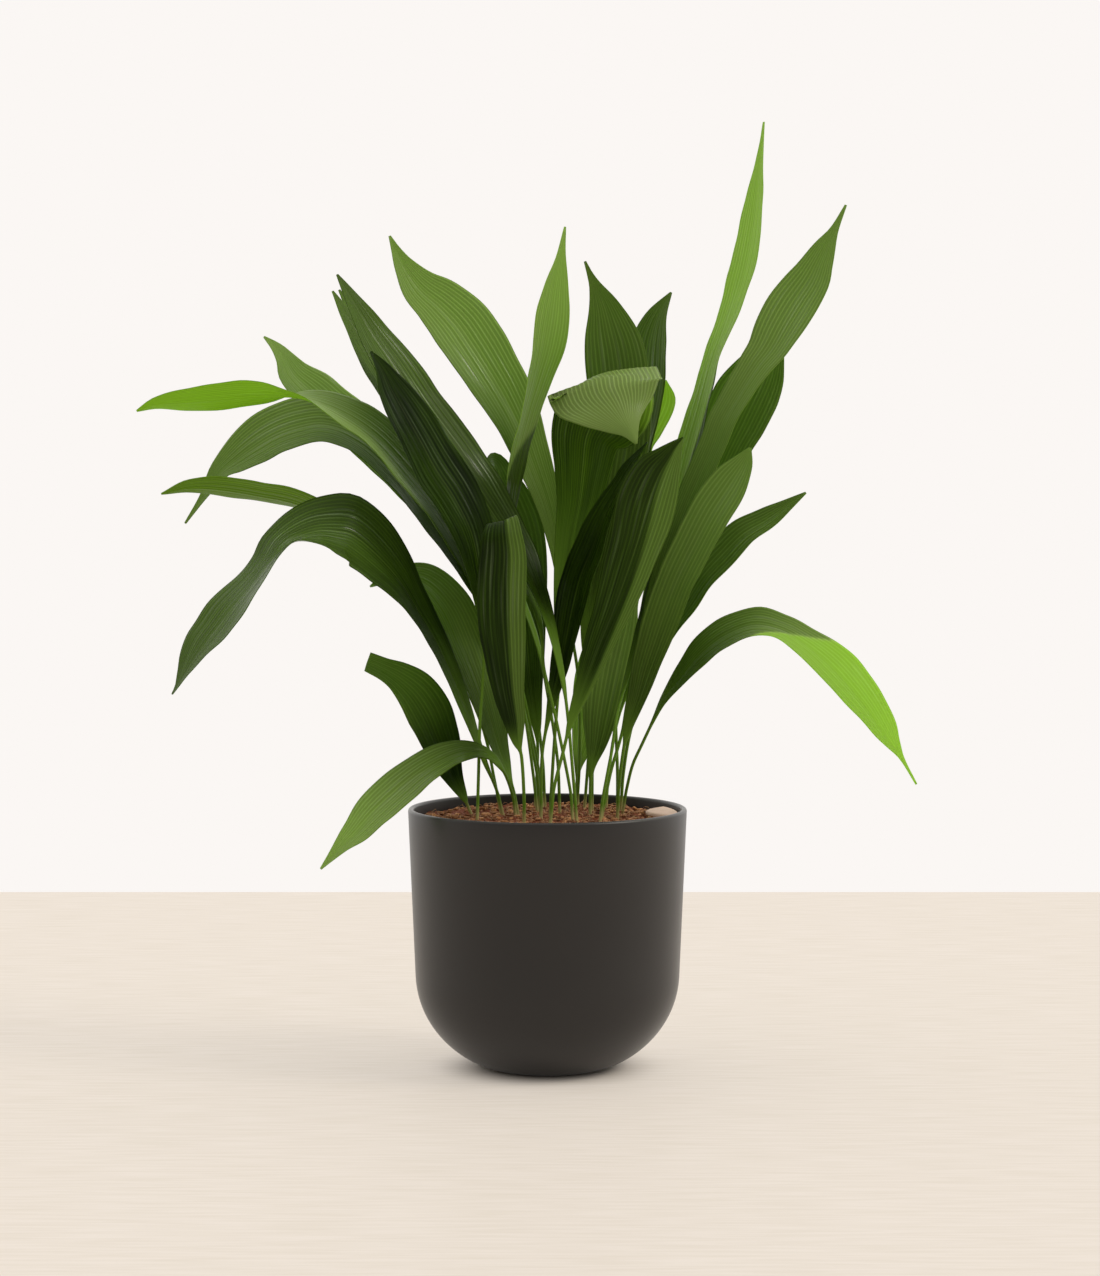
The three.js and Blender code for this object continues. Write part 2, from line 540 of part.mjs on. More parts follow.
// Closed skin over a row of sections, each quad split alike on the upper face and the underside.
function skinGeometry(sections) {
  const count = SECTION_STOPS.length * 2;
  const positions = sections.flat().flatMap((point) => [point.x, point.y, point.z]);
  const index = [];
  const at = (ring, k) => ring * count + (k % count);
  for (let ring = 0; ring < sections.length - 1; ring += 1) {
    for (let k = 0; k < count; k += 1) {
      const [a, b, c, d] = [at(ring, k), at(ring, k + 1), at(ring + 1, k + 1), at(ring + 1, k)];
      if (k < SECTION_STOPS.length) {
        index.push(a, b, c, a, c, d);
      } else {
        index.push(a, b, d, b, c, d);
      }
    }
  }
  const last = sections.length - 1;
  for (let k = 0; k < SECTION_STOPS.length - 1; k += 1) {
    const [a, b, c, d] = [k, k + 1, count - 2 - k, count - 1 - k];
    index.push(at(0, a), at(0, c), at(0, b), at(0, a), at(0, d), at(0, c));
    index.push(at(last, a), at(last, b), at(last, c), at(last, a), at(last, c), at(last, d));
  }
  const geometry = new THREE.BufferGeometry();
  geometry.setAttribute('position', new THREE.Float32BufferAttribute(positions, 3));
  geometry.setIndex(index);
  return geometry;
}

function leafGeometry(leaf) {
  return skinGeometry(leafStations(leaf).map((station) => sectionPoints(station, 0)));
}

// Plain hole for a stalk: its straight buried stretch, a little wider and longer.
function holeGeometry(leaf) {
  const [buried, clear] = leafStations(leaf);
  buried.point.addScaledVector(buried.along, -HOLE_EXTRA_LENGTH);
  clear.point.addScaledVector(clear.along, HOLE_EXTRA_LENGTH);
  return skinGeometry([buried, clear].map((station) => sectionPoints(station, HOLE_CLEARANCE)));
}

function soilWithHoles() {
  return LEAVES.reduce(
    (soil, leaf) => soil.subtract(toSolid(holeGeometry(leaf))),
    toSolid(soilGeometry()),
  );
}

const group = new THREE.Group();

function add(name, geometry, material, height = 0) {
  const mesh = new THREE.Mesh(geometry, material);
  mesh.name = name;
  mesh.position.z = height;
  group.add(mesh);
}

add('pot', potGeometry(), potFinish);
add('soil', toGeometry(soilWithHoles()), soilFinish);
add('bark_chip', chipGeometry(), barkFinish, SOIL_LEVEL + SOIL_RELIEF + SOIL_GAP);
LEAVES.forEach((leaf, i) => {
  add(`leaf_${String(i + 1).padStart(2, '0')}`, leafGeometry(leaf), leafFinish);
});

export default group;
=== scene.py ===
"""A potted cast iron plant: long ribbed leaves on stalks, in coir soil, in a round-bottomed charcoal pot.

Sizes are in millimetres in the classes and in metres on the meshes. +Z is up, the photograph looks along +Y,
and the origin is the middle of the pot's flat foot.
"""

import logging
import math
from dataclasses import dataclass
from enum import Enum

import bpy
import numpy as np
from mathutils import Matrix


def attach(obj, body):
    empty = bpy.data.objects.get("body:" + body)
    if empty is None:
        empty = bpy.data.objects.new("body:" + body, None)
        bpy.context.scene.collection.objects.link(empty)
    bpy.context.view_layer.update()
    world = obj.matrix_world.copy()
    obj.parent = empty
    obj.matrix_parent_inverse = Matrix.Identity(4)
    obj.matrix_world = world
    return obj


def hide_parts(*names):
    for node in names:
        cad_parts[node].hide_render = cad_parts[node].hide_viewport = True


Faces = list[tuple[int, ...]]
Material = bpy.types.Material
Node = bpy.types.Node
Piece = bpy.types.Object
Socket = bpy.types.NodeSocket
Tree = bpy.types.NodeTree

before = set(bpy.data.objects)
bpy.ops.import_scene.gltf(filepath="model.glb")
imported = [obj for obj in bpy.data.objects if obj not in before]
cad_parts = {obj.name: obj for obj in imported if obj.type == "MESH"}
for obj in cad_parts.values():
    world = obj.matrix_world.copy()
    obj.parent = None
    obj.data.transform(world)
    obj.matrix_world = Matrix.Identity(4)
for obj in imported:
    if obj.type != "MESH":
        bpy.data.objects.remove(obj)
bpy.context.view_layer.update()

LOG = logging.getLogger("potted_plant")
MM = 0.001

TIMES = {"operation": "MULTIPLY"}
TIMES_PLUS = {"operation": "MULTIPLY_ADD"}
COLOURS = {"data_type": "RGBA"}
EASED = {"interpolation_type": "SMOOTHSTEP"}


def linear(colour: str) -> tuple[float, float, float, float]:
    """Turns an sRGB hex colour to Blender's linear one.

    Args:
        colour: Six hex digits after a #.

    Returns:
        Red, green, blue and an alpha of 1.
    """
    parts = [int(colour[i : i + 2], 16) / 255 for i in (1, 3, 5)]
    red, green, blue = [p / 12.92 if p <= 0.04045 else ((p + 0.055) / 1.055) ** 2.4 for p in parts]
    return (red, green, blue, 1.0)


def add_node(tree: Tree, kind: str, settings: dict | None = None, inputs: dict | None = None) -> Node:
    """Adds one node with its settings, values and links.

    Args:
        tree: The material's or the world's node tree.
        kind: Blender's name of the node type.
        settings: Attribute name to value.
        inputs: Input name or number to a value, to the output socket that feeds it, or to a node whose first
            output feeds it.

    Returns:
        The new node.
    """
    node = tree.nodes.new(kind)
    for name, value in (settings or {}).items():
        setattr(node, name, value)
    for name, value in (inputs or {}).items():
        if isinstance(value, Node):
            value = value.outputs[0]
        if isinstance(value, Socket):
            tree.links.new(value, node.inputs[name])
        else:
            node.inputs[name].default_value = value
    return node


def new_tree(name: str) -> tuple[Material, Tree]:
    """Makes a material with an empty node tree.

    Args:
        name: The material's name.

    Returns:
        The material and its tree.
    """
    material = bpy.data.materials.new(name)
    material.use_nodes = True
    material.node_tree.nodes.clear()
    return material, material.node_tree


def make_piece(
    name: str,
    points: np.ndarray,
    faces: Faces,
    material: Material,
    attributes: dict[str, np.ndarray] | None = None,
) -> Piece:
    """Makes a smooth-shaded mesh object.

    Args:
        name: The piece's name.
        points: Corners in millimetres, one row each.
        faces: Corner numbers of each face, anticlockwise seen from outside.
        material: The finish.
        attributes: Name to one row of three numbers for each corner, which the finish reads.

    Returns:
        The object, linked to the scene.
    """
    mesh = bpy.data.meshes.new(name)
    mesh.from_pydata((np.asarray(points, float) * MM).tolist(), [], faces)
    for label, rows in (attributes or {}).items():
        layer = mesh.attributes.new(label, "FLOAT_VECTOR", "POINT")
        layer.data.foreach_set("vector", np.asarray(rows, np.float32).ravel())
    mesh.polygons.foreach_set("use_smooth", [True] * len(mesh.polygons))
    mesh.materials.append(material)
    mesh.update()
    piece = bpy.data.objects.new(name, mesh)
    bpy.context.scene.collection.objects.link(piece)
    return piece


def own(piece: Piece, slot: str, *nodes: str) -> None:
    """Puts a finished piece on the plant's one body and has it stand for its solids.

    Args:
        piece: The piece.
        slot: The record's material slot; not used.
        nodes: The solids that it stands for.
    """
    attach(piece, "root")
    if nodes:
        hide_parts(*nodes)
    LOG.info("%s: %d faces", piece.name, len(piece.data.polygons))


class PaintedLight(Enum):
    """Painted light and shade of each leaf's colour, from its foot to its tip; it also sets how much light the
    leaf lets through.
    """

    DARKEST = (0.0, 0.0)
    SHADED = (0.0, 0.05)
    DEEP = (0.0, 0.16)
    MIDDLE = (0.02, 0.22)
    EVEN = (0.18, 0.25)
    FRESH = (0.08, 0.3)
    PALE = (0.15, 0.56)
    PALE_TIP = (0.12, 0.5)
    BRIGHT = (0.5, 0.9)
    LIT_TIP = (0.05, 0.78)
    HALF_LIT = (0.0, 0.38)
    GLOWING = (0.5, 0.7)


@dataclass(frozen=True)
class CutinBlade:
    """Aspidistra leaf: a tough blade under a waxy cuticle, with parallel veins and a satin, streaky shine.

    Dark blue-green above, paler and yellower below, and yellow-green where light comes through. The finest veins
    are too close together to show, so they are drawn as far apart as they need to show. A pair that ends in from
    is the two ends of a pattern's range, and leaf_apart shifts the patterns from leaf to leaf.
    """

    upper_dark: str = "#121d06"
    upper_fresh: str = "#4a6c0e"
    under_dark: str = "#1c3406"
    under_fresh: str = "#5e8416"
    # lit_upper and lit_under are painted lit colours, which the faces take on as the leaf's painted light rises.
    lit_upper: str = "#adbd76"
    lit_under: str = "#9cc248"
    rib: str = "#8fa557"
    stalk: str = "#5f8128"
    sheath: str = "#b9ab78"
    through_dark: str = "#5f9410"
    through_fresh: str = "#c2ea38"
    vein_pitch_mm: float = 3.4
    streak_width_mm: float = 2.4
    streak_length_mm: float = 80.0
    mottle_mm: float = 26.0
    mottle_stretch: float = 3.0
    leaf_apart: float = 50.0
    rib_width_mm: float = 0.9
    rib_core: float = 0.35
    sheath_mm: float = 14.0
    vein_depth_mm: float = 0.4
    vein_shoulder: float = 0.1
    vein_tone: tuple[float, float] = (0.86, 1.45)
    patch_from: tuple[float, float] = (0.12, 0.42)
    patch_share: float = 0.35
    fresh_gain: float = 2.6
    pale_power: float = 1.4
    rib_shows: tuple[float, float] = (0.06, 0.25)
    streak_height: float = 0.4
    relief_strength: float = 0.3
    roughness: float = 0.3
    roughness_spread: tuple[float, float] = (-0.06, 0.1)
    streak_from: tuple[float, float] = (0.3, 0.7)
    ior: float = 1.45
    specular: float = 0.06
    wax_from: tuple[float, float] = (0.56, 0.72)
    wax_least: float = 0.03
    wax_streaks: float = 0.85
    wax_roughness: float = 0.2
    least_through: float = 0.16
    most_through: float = 0.62
    stalk_closes: float = 0.8

    def build(self) -> Material:
        """Builds the leaf's material from its across, along and side coordinates in millimetres."""
        material, tree = new_tree("aspidistra_blade")
        place = add_node(tree, "ShaderNodeAttribute", {"attribute_name": "blade_mm"})
        kind = add_node(tree, "ShaderNodeAttribute", {"attribute_name": "painted_light_stalk_number"})
        form = add_node(tree, "ShaderNodeAttribute", {"attribute_name": "blade_share"})
        split = add_node(tree, "ShaderNodeSeparateXYZ", None, {0: place.outputs["Vector"]})
        traits = add_node(tree, "ShaderNodeSeparateXYZ", None, {0: kind.outputs["Vector"]})
        across, along, upper = split.outputs
        # lit is the leaf's painted light and shade, which sets its colour and also how much light comes through.
        lit, stalk, chance = traits.outputs
        streaks, mottle = self.patterns(tree, across, along, chance)
        vein, rib = self.veins(tree, across)
        blend = add_node(tree, "ShaderNodeMath", TIMES, {0: mottle.outputs["Fac"], 1: streaks.outputs["Fac"]})
        skin = self.skin(tree, lit, upper, blend)
        blade = self.ribbed(tree, skin, lit, vein, rib)
        colour = self.with_stalk(tree, blade, along, stalk)
        bump = self.relief(tree, streaks, vein, form)
        wax = self.waxed(tree, colour, streaks, form, bump)
        light = add_node(
            tree,
            "ShaderNodeMix",
            COLOURS,
            {0: lit, 6: linear(self.through_dark), 7: linear(self.through_fresh)},
        ).outputs[2]
        glow = add_node(tree, "ShaderNodeBsdfTranslucent", None, {"Color": light})
        thin = add_node(
            tree,
            "ShaderNodeMapRange",
            {"clamp": False},
            {"Value": lit, "To Min": self.least_through, "To Max": self.most_through},
        )
        open_share = add_node(tree, "ShaderNodeMath", TIMES_PLUS, {0: stalk, 1: -self.stalk_closes, 2: 1.0})
        passed = add_node(tree, "ShaderNodeMath", TIMES, {0: thin, 1: open_share})
        both = add_node(tree, "ShaderNodeMixShader", None, {0: passed, 1: wax, 2: glow})
        add_node(tree, "ShaderNodeOutputMaterial", None, {"Surface": both})
        return material

    def patterns(self, tree: Tree, across: Socket, along: Socket, chance: Socket) -> tuple[Node, Node]:
        """Streaks and mottle, long along the blade.

        Args:
            tree: The material's tree.
            across: Millimetres across the blade.
            along: Millimetres along the leaf.
            chance: The leaf's own number, from 0 to 1.

        Returns:
            The streaks and the mottle.
        """
        narrow = add_node(tree, "ShaderNodeMath", TIMES, {0: across, 1: 1 / self.streak_width_mm})
        long = add_node(tree, "ShaderNodeMath", TIMES, {0: along, 1: 1 / self.streak_length_mm})
        own_place = add_node(tree, "ShaderNodeMath", TIMES, {0: chance, 1: self.leaf_apart})
        streak_at = add_node(tree, "ShaderNodeCombineXYZ", None, {0: narrow, 1: long, 2: own_place})
        streaks = add_node(
            tree,
            "ShaderNodeTexNoise",
            None,
            {"Vector": streak_at, "Scale": 1.0, "Detail": 1.0, "Roughness": 0.5},
        )
        wide = add_node(tree, "ShaderNodeMath", TIMES, {0: across, 1: 1 / self.mottle_mm})
        far = add_node(tree, "ShaderNodeMath", TIMES, {0: along, 1: 1 / (self.mottle_stretch * self.mottle_mm)})
        mottle_at = add_node(tree, "ShaderNodeCombineXYZ", None, {0: wide, 1: far, 2: own_place})
        mottle = add_node(tree, "ShaderNodeTexNoise", None, {"Vector": mottle_at, "Scale": 1.0, "Detail": 2.0})
        return streaks, mottle

    def veins(self, tree: Tree, across: Socket) -> tuple[Node, Node]:
        """Even veins, and the midrib.

        Args:
            tree: The material's tree.
            across: Millimetres across the blade.

        Returns:
            The share of the veins and of the midrib, from 0 to 1.
        """
        turns_a_mm = 2 * math.pi / self.vein_pitch_mm
        turn = add_node(tree, "ShaderNodeMath", TIMES, {0: across, 1: turns_a_mm})
        wave = add_node(tree, "ShaderNodeMath", {"operation": "COSINE"}, {0: turn})
        vein = add_node(
            tree, "ShaderNodeMapRange", None, {"Value": wave, "From Min": self.vein_shoulder, "From Max": 1.0}
        )
        distance = add_node(tree, "ShaderNodeMath", {"operation": "ABSOLUTE"}, {0: across})
        rib = add_node(
            tree,
            "ShaderNodeMapRange",
            EASED,
            {
                "Value": distance,
                "From Min": self.rib_core * self.rib_width_mm,
                "From Max": self.rib_width_mm,
                "To Min": 1.0,
                "To Max": 0.0,
            },
        )
        return vein, rib

    def skin(self, tree: Tree, lit: Socket, upper: Socket, blend: Node) -> Socket:
        """Colour of the blade's two faces, with painted light: fresher and paler where the leaf's painted light
        is higher.

        Args:
            tree: The material's tree.
            lit: The leaf's painted light and shade.
            upper: 1 on the upper face, 0 below.
            blend: The patches.

        Returns:
            The colour.
        """
        first, full = self.patch_from
        patch = add_node(
            tree,
            "ShaderNodeMapRange",
            None,
            {"Value": blend, "From Min": first, "From Max": full, "To Max": self.patch_share},
        )
        # Painted light: the colour turns fresher with the leaf's painted light, besides its random patches.
        fresh = add_node(tree, "ShaderNodeMath", TIMES_PLUS, {0: lit, 1: self.fresh_gain, 2: patch})
        pale = add_node(tree, "ShaderNodeMath", {"operation": "POWER"}, {0: lit, 1: self.pale_power})
        sides = []
        for dark, green, in_light in (
            (self.under_dark, self.under_fresh, self.lit_under),
            (self.upper_dark, self.upper_fresh, self.lit_upper),
        ):
            plain = add_node(tree, "ShaderNodeMix", COLOURS, {0: fresh, 6: linear(dark), 7: linear(green)})
            side = add_node(tree, "ShaderNodeMix", COLOURS, {0: pale, 6: plain.outputs[2], 7: linear(in_light)})
            sides.append(side.outputs[2])
        return add_node(tree, "ShaderNodeMix", COLOURS, {0: upper, 6: sides[0], 7: sides[1]}).outputs[2]

    def ribbed(self, tree: Tree, skin: Socket, lit: Socket, vein: Node, rib: Node) -> Socket:
        """The blade's colour with its paler veins and midrib.

        Args:
            tree: The material's tree.
            skin: The plain colour.
            lit: The leaf's painted light and shade.
            vein: The share of the veins.
            rib: The share of the midrib.

        Returns:
            The colour.
        """
        between, on_vein = self.vein_tone
        vein_tone = add_node(
            tree, "ShaderNodeMapRange", None, {"Value": vein, "To Min": between, "To Max": on_vein}
        )
        veined = add_node(tree, "ShaderNodeVectorMath", {"operation": "SCALE"}, {0: skin, "Scale": vein_tone})
        # Painted light: the midrib shows more where the leaf's painted light is higher.
        in_shade, more_lit = self.rib_shows
        rib_share = add_node(tree, "ShaderNodeMath", TIMES_PLUS, {0: lit, 1: more_lit, 2: in_shade})
        rib_shown = add_node(tree, "ShaderNodeMath", TIMES, {0: rib, 1: rib_share})
        return add_node(
            tree, "ShaderNodeMix", COLOURS, {0: rib_shown, 6: veined, 7: linear(self.rib)}
        ).outputs[2]

    def with_stalk(self, tree: Tree, blade: Socket, along: Socket, stalk: Socket) -> Socket:
        """The blade's colour above, the stalk's and the dry sheath's below.

        Args:
            tree: The material's tree.
            blade: The blade's colour.
            along: Millimetres up from the soil.
            stalk: 1 on the stalk, 0 on the open blade.

        Returns:
            The colour.
        """
        foot = add_node(
            tree,
            "ShaderNodeMapRange",
            None,
            {"Value": along, "From Min": 0.0, "From Max": self.sheath_mm, "To Min": 1.0, "To Max": 0.0},
        )
        stem = add_node(
            tree, "ShaderNodeMix", COLOURS, {0: foot, 6: linear(self.stalk), 7: linear(self.sheath)}
        ).outputs[2]
        return add_node(tree, "ShaderNodeMix", COLOURS, {0: stalk, 6: blade, 7: stem}).outputs[2]

    def relief(self, tree: Tree, streaks: Node, vein: Node, form: Node) -> Node:
        """Fine relief of the veins and streaks, which fades where the blade narrows.

        Args:
            tree: The material's tree.
            streaks: The streaks.
            vein: The share of the veins.
            form: How wide the blade is, as a share of its widest.

        Returns:
            The relief.
        """
        height = add_node(
            tree, "ShaderNodeMath", TIMES_PLUS, {0: streaks.outputs["Fac"], 1: self.streak_height, 2: vein}
        )
        raised = add_node(tree, "ShaderNodeMath", TIMES, {0: height, 1: form.outputs["Fac"]})
        return add_node(
            tree,
            "ShaderNodeBump",
            None,
            {"Height": raised, "Strength": self.relief_strength, "Distance": self.vein_depth_mm * MM},
        )

    def waxed(self, tree: Tree, colour: Socket, streaks: Node, form: Node, bump: Node) -> Node:
        """The satin skin, with glossy wax in streaks.

        Args:
            tree: The material's tree.
            colour: The leaf's colour.
            streaks: The streaks.
            form: How wide the blade is, as a share of its widest.
            bump: The relief.

        Returns:
            The surface.
        """
        rough = add_node(
            tree,
            "ShaderNodeMapRange",
            None,
            {
                "Value": streaks.outputs["Fac"],
                "From Min": self.streak_from[0],
                "From Max": self.streak_from[1],
                "To Min": self.roughness + self.roughness_spread[0],
                "To Max": self.roughness + self.roughness_spread[1],
            },
        )
        wax_share = add_node(
            tree,
            "ShaderNodeMapRange",
            None,
            {
                "Value": streaks.outputs["Fac"],
                "From Min": self.wax_from[0],
                "From Max": self.wax_from[1],
                "To Min": self.wax_least,
                "To Max": self.wax_streaks,
            },
        )
        waxed = add_node(tree, "ShaderNodeMath", TIMES, {0: wax_share, 1: form.outputs["Fac"]})
        return add_node(
            tree,
            "ShaderNodeBsdfPrincipled",
            None,
            {
                "Base Color": colour,
                "Roughness": rough,
                "IOR": self.ior,
                "Specular IOR Level": self.specular,
                "Normal": bump.outputs["Normal"],
                "Coat Weight": waxed,
                "Coat Roughness": self.wax_roughness,
                "Coat Normal": bump.outputs["Normal"],
            },
        )


@dataclass(frozen=True)
class MouldedCharcoal:
    """Charcoal polypropylene, moulded in a fine-textured tool: dull, with a faint grain in a soft side light.

    The real grain is too fine to show, so it is drawn as coarse as it needs to show.
    """

    body: str = "#120e0c"
    worn: str = "#1a1613"
    grain_mm: float = 0.9
    mottle_mm: float = 40.0
    grain_depth_mm: float = 0.06
    relief_strength: float = 0.5
    roughness: float = 0.4
    roughness_spread: float = 0.05
    ior: float = 1.5
    bloom: float = 0.16
    bloom_roughness: float = 0.3

    def build(self) -> Material:
        """Builds the pot's material."""
        material, tree = new_tree("moulded_charcoal")
        place = add_node(tree, "ShaderNodeTexCoord")
        grain = add_node(
            tree,
            "ShaderNodeTexNoise",
            None,
            {"Vector": place.outputs["Object"], "Scale": 1 / (self.grain_mm * MM), "Detail": 2.0},
        )
        mottle = add_node(
            tree,
            "ShaderNodeTexNoise",
            None,
            {"Vector": place.outputs["Object"], "Scale": 1 / (self.mottle_mm * MM), "Detail": 4.0},
        )
        colour = add_node(
            tree,
            "ShaderNodeMix",
            COLOURS,
            {0: mottle.outputs["Fac"], 6: linear(self.body), 7: linear(self.worn)},
        ).outputs[2]
        bump = add_node(
            tree,
            "ShaderNodeBump",
            None,
            {
                "Height": grain.outputs["Fac"],
                "Strength": self.relief_strength,
                "Distance": self.grain_depth_mm * MM,
            },
        )
        rough = add_node(
            tree,
            "ShaderNodeMapRange",
            None,
            {
                "Value": mottle.outputs["Fac"],
                "To Min": self.roughness - self.roughness_spread,
                "To Max": self.roughness + self.roughness_spread,
            },
        )
        shell = add_node(
            tree,
            "ShaderNodeBsdfPrincipled",
            None,
            {
                "Base Color": colour,
                "Roughness": rough,
                "IOR": self.ior,
                "Normal": bump.outputs["Normal"],
                "Sheen Weight": self.bloom,
                "Sheen Roughness": self.bloom_roughness,
            },
        )
        add_node(tree, "ShaderNodeOutputMaterial", None, {"Surface": shell})
        return material


@dataclass(frozen=True)
class LooseFibre:
    """Coir pith and shredded bark: dry, rust brown and quite matte, each bit in a shade of its own."""

    name: str
    dark: str
    fresh: str
    grain_mm: float
    depth_mm: float
    grain_spread: tuple[float, float] = (0.9, -0.25)
    own_shade: float = 0.75
    relief_strength: float = 0.8
    roughness: float = 0.92

    def build(self) -> Material:
        """Builds the material. The corner attribute bit holds each bit's own shade in its first number."""
        material, tree = new_tree(self.name)
        place = add_node(tree, "ShaderNodeTexCoord")
        bit = add_node(tree, "ShaderNodeAttribute", {"attribute_name": "bit"})
        shade = add_node(tree, "ShaderNodeSeparateXYZ", None, {0: bit.outputs["Vector"]})
        grain = add_node(
            tree,
            "ShaderNodeTexNoise",
            None,
            {
                "Vector": place.outputs["Object"],
                "Scale": 1 / (self.grain_mm * MM),
                "Detail": 4.0,
                "Roughness": 0.65,
            },
        )
        held_sum = {"operation": "MULTIPLY_ADD", "use_clamp": True}
        gain, shift = self.grain_spread
        spread = add_node(tree, "ShaderNodeMath", held_sum, {0: grain.outputs["Fac"], 1: gain, 2: shift})
        share = add_node(tree, "ShaderNodeMath", held_sum, {0: shade.outputs[0], 1: self.own_shade, 2: spread})
        colour = add_node(
            tree, "ShaderNodeMix", COLOURS, {0: share, 6: linear(self.dark), 7: linear(self.fresh)}
        ).outputs[2]
        bump = add_node(
            tree,
            "ShaderNodeBump",
            None,
            {"Height": grain.outputs["Fac"], "Strength": self.relief_strength, "Distance": self.depth_mm * MM},
        )
        crumb = add_node(
            tree,
            "ShaderNodeBsdfPrincipled",
            None,
            {"Base Color": colour, "Roughness": self.roughness, "Normal": bump.outputs["Normal"]},
        )
        add_node(tree, "ShaderNodeOutputMaterial", None, {"Surface": crumb})
        return material


@dataclass
class Pot:
    """Round-bottomed pot, one moulding: a slightly tapered wall, a full round corner and a small flat foot."""

    height: float = 205.0
    rim_radius: float = 110.0
    shoulder_radius: float = 104.3
    shoulder_height: float = 72.0
    foot_radius: float = 44.0
    wall: float = 4.5
    shoulder_pull: float = 44.5
    foot_pull: float = 20.0
    foot_rise: float = 2.6
    sides: int = 192
    corner_steps: int = 28
    wall_steps: int = 10
    lip_steps: int = 10

    def side(self, inset: float, top: float, wall_steps: int) -> np.ndarray:
        """Points of the wall's profile, from the foot up.

        Args:
            inset: How far inside the outer face.
            top: Height at which the profile ends.
            wall_steps: Number of steps up the straight wall.

        Returns:
            Radius and height, one row each.
        """
        taper = math.atan2(self.rim_radius - self.shoulder_radius, self.height - self.shoulder_height)
        handles = np.array(
            [
                (self.shoulder_radius, self.shoulder_height),
                (
                    self.shoulder_radius - self.shoulder_pull * math.sin(taper),
                    self.shoulder_height - self.shoulder_pull * math.cos(taper),
                ),
                (self.foot_radius + self.foot_pull, self.foot_rise),
                (self.foot_radius, 0.0),
            ]
        )
        share = np.linspace(1, 0, self.corner_steps + 1)[:, None]
        rest = 1 - share
        weights = (rest**3, 3 * rest**2 * share, 3 * rest * share**2, share**3)
        curve = sum(weight * handle for weight, handle in zip(weights, handles))
        slope = np.gradient(curve, axis=0)
        slope /= np.linalg.norm(slope, axis=1)[:, None]
        curve = curve + inset * np.stack([-slope[:, 1], slope[:, 0]], 1)
        curve[0] = (self.foot_radius, inset)
        climb = np.linspace(self.shoulder_height, top, wall_steps + 1)[1:]
        radius = self.shoulder_radius + (climb - self.shoulder_height) * math.tan(taper)
        radius = radius - inset / math.cos(taper)
        return np.concatenate([curve, np.stack([radius, climb], 1)])

    def build(self, material: Material) -> None:
        """Turns the pot from its profile, with a rounded lip.

        Args:
            material: The finish.
        """
        lip = self.wall / 2
        outer = self.side(0.0, self.height - lip, self.wall_steps)
        inner = self.side(self.wall, self.height - lip, self.wall_steps)[::-1]
        middle = (outer[-1, 0] + inner[0, 0]) / 2
        half = (outer[-1, 0] - inner[0, 0]) / 2
        turn = np.linspace(0, math.pi, self.lip_steps + 1)[1:-1]
        top = np.stack([middle + half * np.cos(turn), self.height - lip + lip * np.sin(turn)], 1)
        points, faces = turned(np.concatenate([outer, top, inner]), self.sides)
        own(make_piece("round_pot", points, faces, material), "pot_charcoal", "pot")


def turned(profile: np.ndarray, sides: int) -> tuple[np.ndarray, Faces]:
    """Turns a profile about the pot's axis and closes both ends on the axis.

    Args:
        profile: Radius and height, one row each, in order along the outside.
        sides: Number of corners round the ring.

    Returns:
        The corners and the faces.
    """
    turn = np.linspace(0, 2 * math.pi, sides, endpoint=False)
    rings = np.stack(
        [
            profile[:, None, 0] * np.cos(turn),
            profile[:, None, 0] * np.sin(turn),
            np.repeat(profile[:, None, 1], sides, 1),
        ],
        2,
    )
    points = np.concatenate([rings.reshape(-1, 3), [(0, 0, profile[0, 1]), (0, 0, profile[-1, 1])]])
    first, last = len(points) - 2, len(points) - 1
    top = (len(profile) - 1) * sides
    faces = []
    for side in range(sides):
        ahead = (side + 1) % sides
        faces.append((first, ahead, side))
        faces.append((last, top + side, top + ahead))
        for ring in range(len(profile) - 1):
            low, high = ring * sides, (ring + 1) * sides
            faces.append((low + side, low + ahead, high + ahead, high + side))
    return points, faces


